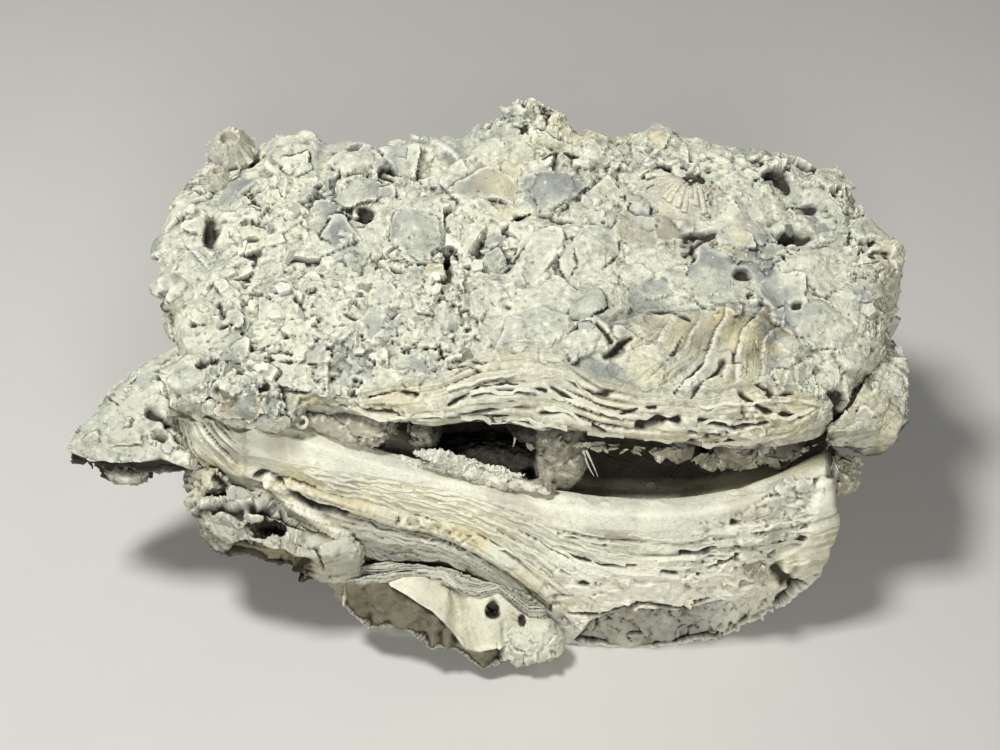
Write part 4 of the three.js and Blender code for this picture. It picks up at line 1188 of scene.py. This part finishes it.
def needle_paths():
    """Tapered paths of the needles."""
    paths = []
    for root, tip, depth, width in NEEDLES:
        ends = sighted(*root, depth), sighted(*tip, depth - 0.6)
        share = np.linspace(0, 1, 6)[:, None]
        bend = RANDOM.uniform(-0.3, 0.3, 3) * np.sin(share * math.pi)
        points = ends[0] * (1 - share) + ends[1] * share + bend
        paths.append((points, width * (1 - 0.8 * share[:, 0] ** 1.5), (0, 0, 1)))
    return paths


def fan_paths():
    """Roots of the fans: each is short and its blade spreads from it."""
    paths = []
    for first, last, depth, way, count, length in FANS:
        ends = sighted(*first, depth), sighted(*last, depth)
        for _ in range(count):
            share = RANDOM.random()
            centre = ends[0] * (1 - share) + ends[1] * share + RANDOM.uniform(-0.6, 0.6, 3) + (0, 0, 1.1)
            out = np.array(way) + RANDOM.uniform(-0.35, 0.35, 3)
            out /= np.linalg.norm(out)
            side = np.cross(out, RANDOM.normal(size=3) * (0.5, 1, 0.5) + (0, -1, 0))
            side /= np.linalg.norm(side)
            spread = np.linspace(-1, 1, 9)[:, None]
            reach = length * RANDOM.uniform(0.5, 1) * (1 - 0.35 * spread**2)
            root = centre + RANDOM.uniform(0.5, 1.2) * spread * side
            paths.append((root, 1.0, reach * (out + RANDOM.uniform(0.3, 0.9) * spread * side)))
    return paths


def crumb_strands():
    """Strands of marl crumbs heaped along the rim, thicker and thinner by turns."""
    paths = []
    for _ in range(16):
        start, length = RANDOM.uniform(398, 480), RANDOM.uniform(40, 85)
        across = np.linspace(start, min(start + length, 545), 26)
        depth = -29.8 - 0.0275 * (across - 402) + RANDOM.uniform(-0.8, 0.8)
        down = along(CRUMB_LINE, across) + RANDOM.uniform(-7, 7)
        points = np.array([sighted(a, b, y) for a, b, y in zip(across, down, depth)])
        width = RANDOM.uniform(0.8, 1.5) * (0.6 + 0.8 * RANDOM.random(26)) * np.sin(np.linspace(0.3, 2.9, 26))
        paths.append((points, width, (0, 0, 1)))
    return paths


def tube_ring(px, py, depth, radius, width):
    """Mouth of a worm tube, seen end on."""
    centre = sighted(px, py, depth)
    turn = np.linspace(0, 2 * math.pi, 13)
    ring = np.outer(np.cos(turn), (1, 0, 0)) + np.outer(np.sin(turn), (0, 0.5, 0.87))
    return [(centre + radius * ring, width, (0, -1, 0))]


# Materials


def linear(code):
    """An sRGB hex colour as linear values."""
    parts = [int(code[i : i + 2], 16) / 255 for i in (1, 3, 5)]
    return (*[c / 12.92 if c <= 0.04045 else ((c + 0.055) / 1.055) ** 2.4 for c in parts], 1)


def blend(tree, factor, low, high):
    """A mix of two colours, each a hex colour or a socket."""
    sides = {6: low, 7: high}
    given = {side: linear(value) if isinstance(value, str) else value for side, value in sides.items()}
    return add(tree, "ShaderNodeMix", {"data_type": "RGBA", 0: factor, **given}).outputs[2]


def ramp(tree, source, low, high, top=1.0):
    """Maps low to high of a value onto 0 to top."""
    limits = {"From Min": low, "From Max": high, "To Min": 0.0, "To Max": top, "clamp": True}
    return add(tree, "ShaderNodeMapRange", {"Value": source, **limits}).outputs["Result"]


def fossil_shell(name, clean, grey, ochre, dirt_and_shade, grain, roughness, bump, specks=1.0):
    """Chalky fossil calcite, matt, with stains, painted shade, painted highlights and growth layers stored on
    the mesh; the grain is in mm.
    """
    material = bpy.data.materials.new(name)
    material.use_nodes = True
    tree = material.node_tree
    shader = tree.nodes["Principled BSDF"]
    place = add(tree, "ShaderNodeTexCoord").outputs["Object"]

    def speckle(size, detail=3.0, vector=place):
        given = {"Vector": vector, "Scale": 1 / (size * MM), "Detail": detail}
        return add(tree, "ShaderNodeTexNoise", given).outputs["Fac"]

    def mark(attribute):
        return add(tree, "ShaderNodeAttribute", {"attribute_name": attribute}).outputs["Fac"]

    def times(first, second):
        return add(tree, "ShaderNodeMath", {"operation": "MULTIPLY", 0: first, 1: second}).outputs[0]

    def vector(operation, first, second):
        return add(tree, "ShaderNodeVectorMath", {"operation": operation, 0: first, 1: second})

    def broken(size):
        """Height of small broken faces of the given size in mm, each tilted its own way."""
        cells = add(tree, "ShaderNodeTexVoronoi", {"Vector": place, "Scale": 1 / (size * MM)}).outputs
        away = vector("SUBTRACT", place, cells["Position"]).outputs[0]
        lean = vector("SUBTRACT", cells["Color"], (0.5, 0.5, 0.5)).outputs[0]
        slope = vector("DOT_PRODUCT", away, lean).outputs["Value"]
        level = {"operation": "MULTIPLY_ADD", 0: slope, 1: 2.4 / (size * MM), 2: cells["Color"]}
        return add(tree, "ShaderNodeMath", level).outputs[0]

    # Growth lines finer than the mesh: noise stretched along each layer
    layer = mark("layer")
    across = add(tree, "ShaderNodeSeparateXYZ", {0: place}).outputs["X"]
    lined = add(tree, "ShaderNodeCombineXYZ", {"X": times(layer, 1.6), "Y": times(across, 55.0)}).outputs[0]
    lines = add(tree, "ShaderNodeTexNoise", {"Vector": lined, "Scale": 1.0, "Detail": 4.0}).outputs["Fac"]
    lined_share = ramp(tree, layer, 0.4, 1.6)

    broad, fine, powder = speckle(13), speckle(grain * 3, 6.0), ramp(tree, speckle(6), 0.56, 0.44)
    color = blend(tree, ramp(tree, broad, 0.42, 0.62, 0.5), clean, blend(tree, 0.5, clean, grey))
    color = blend(tree, ramp(tree, fine, 0.46, 0.34, 0.6 * specks), color, "#efeddc")
    color = blend(tree, ramp(tree, fine, 0.55, 0.68, 0.6 * specks), color, "#85827a")
    color = blend(tree, ramp(tree, mark("grey"), 0.1, 0.95, 0.85), color, grey)
    color = blend(tree, ramp(tree, mark("ochre"), 0.08, 0.9, 0.85), color, ochre)
    color = blend(tree, times(ramp(tree, lines, 0.52, 0.64, 0.55), lined_share), color, "#918a6c")
    # The worn mark lightens for wear and for painted highlights on raised points; the dirt mark darkens for
    # dirt and for painted shade.
    color = blend(tree, ramp(tree, mark("worn"), 0.15, 0.9, 0.6), color, "#f1efe0")
    color = blend(tree, ramp(tree, mark("dirt_and_shade"), 0.08, 0.9, 0.94), color, dirt_and_shade)
    tree.links.new(color, shader.inputs["Base Color"])
    shader.inputs["Roughness"].default_value = roughness
    shader.inputs["IOR"].default_value = 1.5
    shader.inputs["Specular IOR Level"].default_value = 0.2

    heights = (
        (times(lines, lined_share), 0.5),
        (times(broken(grain * 3.6), powder), grain * 0.5),
        (broken(grain * 1.7), grain * 0.34),
        (speckle(grain, 6.0), 0.32),
    )
    normal = None
    for height, depth in heights:
        given = {"Strength": bump, "Distance": depth * MM, "Height": height}
        if normal:
            given["Normal"] = normal
        normal = add(tree, "ShaderNodeBump", given).outputs["Normal"]
    tree.links.new(normal, shader.inputs["Normal"])
    return material


def paper(name, color):
    """Matt studio paper."""
    material = bpy.data.materials.new(name)
    material.use_nodes = True
    tree = material.node_tree
    shader = tree.nodes["Principled BSDF"]
    place = add(tree, "ShaderNodeTexCoord").outputs["Object"]
    mottle = add(tree, "ShaderNodeTexNoise", {"Vector": place, "Scale": 40.0, "Detail": 4.0})
    tint = blend(tree, ramp(tree, mottle.outputs["Fac"], 0.3, 0.7, 0.06), color, "#a8a6a0")
    tree.links.new(tint, shader.inputs["Base Color"])
    shader.inputs["Roughness"].default_value = 0.9
    return material


# The fourth colour of each material is the dark one of the dirt mark, for real dirt and painted shade.
# Chalk crust of an old oyster: dry, powdery, blue-grey and iron stained
valve_chalk = fossil_shell("crusted_valve_chalk", "#cfd0ba", "#858985", "#c9b781", "#241f17", 0.5, 0.92, 0.8)
# Foliated calcite of the valve's own shell: denser, smoother, lined by its growth
leaf_chalk = fossil_shell(
    "leafy_shell_chalk", "#dddcc4", "#81827f", "#c6b680", "#241f17", 0.35, 0.8, 0.6, specks=0.35
)
# Marl: clay and lime mud set hard, painted darker with shade where it lies deep
marl = fossil_shell("hardened_marl", "#aaa58f", "#7d7b73", "#94805a", "#15120d", 0.6, 0.97, 1.0)
# Small shells: the same chalk, cleaner and finer
small_chalk = fossil_shell("small_shell_chalk", "#d0cdb7", "#888a86", "#bfae80", "#241f17", 0.25, 0.85, 0.5)
# Clear to white calcite of needles and fresh chips
needle_calcite = fossil_shell("needle_calcite", "#e6e4d6", "#a6a59c", "#cfc19a", "#6a6252", 0.3, 0.6, 0.3)


# Assembly


def finish(piece, material=None, node=None, rounded=True):
    """Gives a piece its material and its place in the object."""
    if material:
        piece.data.materials.clear()
        piece.data.materials.append(material)
    even = np.full(len(piece.data.polygons), rounded)
    if "chips" in piece.data.attributes:
        chips = Skin.read(piece.data.attributes["chips"].data, "value", 1)[:, 0]
        first = Skin.read(piece.data.polygons, "loop_start", 1, np.int32)[:, 0]
        corner = Skin.read(piece.data.loops, "vertex_index", 1, np.int32)[first, 0]
        even &= chips[corner] < 0.03
    piece.data.polygons.foreach_set("use_smooth", even)
    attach(piece, "root")
    if node:
        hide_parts(node)
    return piece


upper = finish(upper_valve(), valve_chalk, "upper_valve")
lower = finish(lower_valve(), leaf_chalk, "lower_valve")
sediment = finish(gape_sediment(), marl, "gape_sediment")
left = small_shell("left_shell", "left_oyster", 51, rough=0.2, layers=5, leaf=0.4, warm=0.15, detail=lobe)
right = small_shell("right_shell", "right_oyster", 57, rough=0.35, layers=5, leaf=0.4, warm=0.3)
left_under = small_shell("left_under_shell", "left_under_oyster", 63, rough=0.45, layers=6, detail=caves)
finish(left, valve_chalk, "left_shell")
finish(right, valve_chalk, "right_shell")
finish(left_under, leaf_chalk, "left_under_shell")
finish(frilled_shell(), leaf_chalk, "frilled_shell")
scallop = cemented_body("scallop_shell", "scallop_fan", 60, 0.26)
finish(scallop, small_chalk, "scallop_shell")
for node, name, seed in (("barnacle_large", "large_barnacle", 81), ("barnacle_small", "small_barnacle", 85)):
    finish(cemented_body(node, name, seed, 0.24), small_chalk, node)

chips, cords, leaf_edges = chip_tree(), cord_tree(), leaf_tree()
CHIP_SIZES = {"Radius mm": 0.7, "Thickness mm": 0.25, "Slant": 0.8, "Sides": 5, "Ragged mm": 0.3}
PLATE_SIZES = {"Radius mm": 2.0, "Thickness mm": 0.6, "Slant": 0.4, "Sides": 5, "Ragged mm": 0.8}
for host, name, slot, crumbs, plates in (
    (upper, "upper_valve", "shell_crust", 22.0, 1.8),
    (lower, "lower_valve", "laminated_shell", 8.0, 1.2),
    (left, "left_oyster", "shell_crust", 12.0, 1.5),
    (right, "right_oyster", "shell_crust", 12.0, 1.5),
    (left_under, "left_under_oyster", "laminated_shell", 12.0, 1.2),
):
    for kind, sizes, count in (("chips", CHIP_SIZES, crumbs), ("plates", PLATE_SIZES, plates)):
        sizes = {**sizes, "Per square cm": count, "Seed": len(name)}
        scattered = grow(chips, placed(host.data.copy(), "host"), f"{name}_{kind}", valve_chalk, sizes)
        finish(scattered, rounded=False)

lower_surface, upper_surface = Surface(lower), Surface(upper)
valve_edges = leaf_paths(lower_surface, BAND_EDGE, OCHRE_EDGE, np.linspace(0.15, 0.95, 9), (300, 560))
valve_edges += leaf_paths(lower_surface, BAND_EDGE, OCHRE_EDGE, np.linspace(0.08, 0.4, 5), (540, 815))
grey_edges = leaf_paths(lower_surface, DARK_EDGE, LOW_EDGE, np.linspace(0.15, 0.95, 7), (345, 600))
lip_edges = leaf_paths(upper_surface, LIP_TOP, LIP_EDGE, (0.2, 0.42, 0.62), (445, 625))
lip_edges += leaf_paths(upper_surface, LIP_TOP, LIP_EDGE, (0.15, 0.4), (690, 825))
lip_edges += leaf_paths(upper_surface, LIP_TOP, LIP_EDGE, (0.8,), (330, 825))
for paths, name, slot, reach in (
    (valve_edges, "lower_valve_leaves", "laminated_shell", 1.1),
    (grey_edges, "lower_valve_grey_leaves", "laminated_shell", 1.1),
    (lip_edges, "upper_lip_leaves", "shell_crust", 1.6),
):
    sizes = {"Reach mm": reach, "Thickness mm": 0.2, "Break mm": 4.0, "Ragged mm": 0.15}
    edges = grow(leaf_edges, host_of(paths), name, leaf_chalk, sizes)
    marked(edges, "grey", 0.65 if "grey" in name else 0.1)
    finish(edges, rounded=False)

ribs = scallop_ribs(Surface(scallop))
finish(grow(cords, host_of(ribs), "scallop_ribs", small_chalk, {"Ragged mm": 0.06}))
ribs = barnacle_ribs((-67, 45, 80.5), 6.1, 2.6, 5.2, 11) + barnacle_ribs((-69, 35, 78.5), 3.5, 1.5, 3.7, 9)
finish(grow(cords, host_of(ribs), "barnacle_plates", small_chalk, {"Ragged mm": 0.35}))
needles = grow(cords, host_of(needle_paths()), "gape_needles", needle_calcite, {"Sides": 4})
finish(needles)
sizes = {"Reach mm": 1.0, "Thickness mm": 0.25, "Break mm": 1.2, "Ragged mm": 0.35}
finish(grow(leaf_edges, host_of(fan_paths()), "hanging_fans", marl, sizes), rounded=False)
crumbs = grow(cords, host_of(crumb_strands()), "rim_crumbs", valve_chalk, {"Sides": 8, "Ragged mm": 0.9})
marked(crumbs, "chips", 1.0)
sizes = {**CHIP_SIZES, "Radius mm": 0.5, "Per square cm": 110.0}
grit = grow(chips, placed(crumbs.data.copy(), "host"), "rim_grit", valve_chalk, sizes)
marked(grit, "grey", 0.0)
marked(grit, "worn", 0.7)
marked(crumbs, "worn", 0.5)
finish(crumbs, rounded=False)
finish(grit, rounded=False)
tube = tube_ring(302, 422, -27.5, 1.25, 0.5)
finish(grow(cords, host_of(tube), "worm_tube", small_chalk, {"Ragged mm": 0.25}))


# Stage, light and camera


def area_light(name, place, size, power):
    """A soft square lamp aimed at the middle of the cluster."""
    lamp = bpy.data.lights.new(name, "AREA")
    lamp.size, lamp.energy = size, power
    made = bpy.data.objects.new(name, lamp)
    made.location = place
    made.rotation_euler = (Vector((0, 0, 0.04)) - Vector(place)).to_track_quat("-Z", "Y").to_euler()
    bpy.context.scene.collection.objects.link(made)


REACH = 3.0
floor_mesh = bpy.data.meshes.new("floor")
corners = [(-REACH, -REACH, 0), (REACH, -REACH, 0), (REACH, REACH, 0), (-REACH, REACH, 0)]
floor_mesh.from_pydata(corners, [], [(0, 1, 2, 3)])
floor = placed(floor_mesh, "floor")
floor_mesh.materials.append(paper("pale_paper", "#c4c2bb"))
floor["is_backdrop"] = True

scene = bpy.context.scene
scene.view_settings.view_transform = "Standard"
world = bpy.data.worlds.new("studio")
world.use_nodes = True
world.node_tree.nodes["Background"].inputs["Color"].default_value = linear("#dfe3e8")
world.node_tree.nodes["Background"].inputs["Strength"].default_value = 0.1
scene.world = world
area_light("key", (-0.24, -0.05, 0.69), 0.14, 4.75)
area_light("front_fill", (0.05, -0.75, 0.42), 0.3, 3.9)

camera = bpy.data.cameras.new("camera")
camera.sensor_width = 36
camera.lens = FOCAL * camera.sensor_width / 1000
view = bpy.data.objects.new("camera", camera)
view.location = (LOOK_AT + SHIFT + DISTANCE * TOWARD) * MM
view.rotation_euler = (math.pi / 2 - ELEVATION, 0, 0)
scene.collection.objects.link(view)
scene.camera = view

low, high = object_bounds()
sizes = {"cad_low": list(cad_low), "cad_high": list(cad_high), "low": list(low), "high": list(high)}
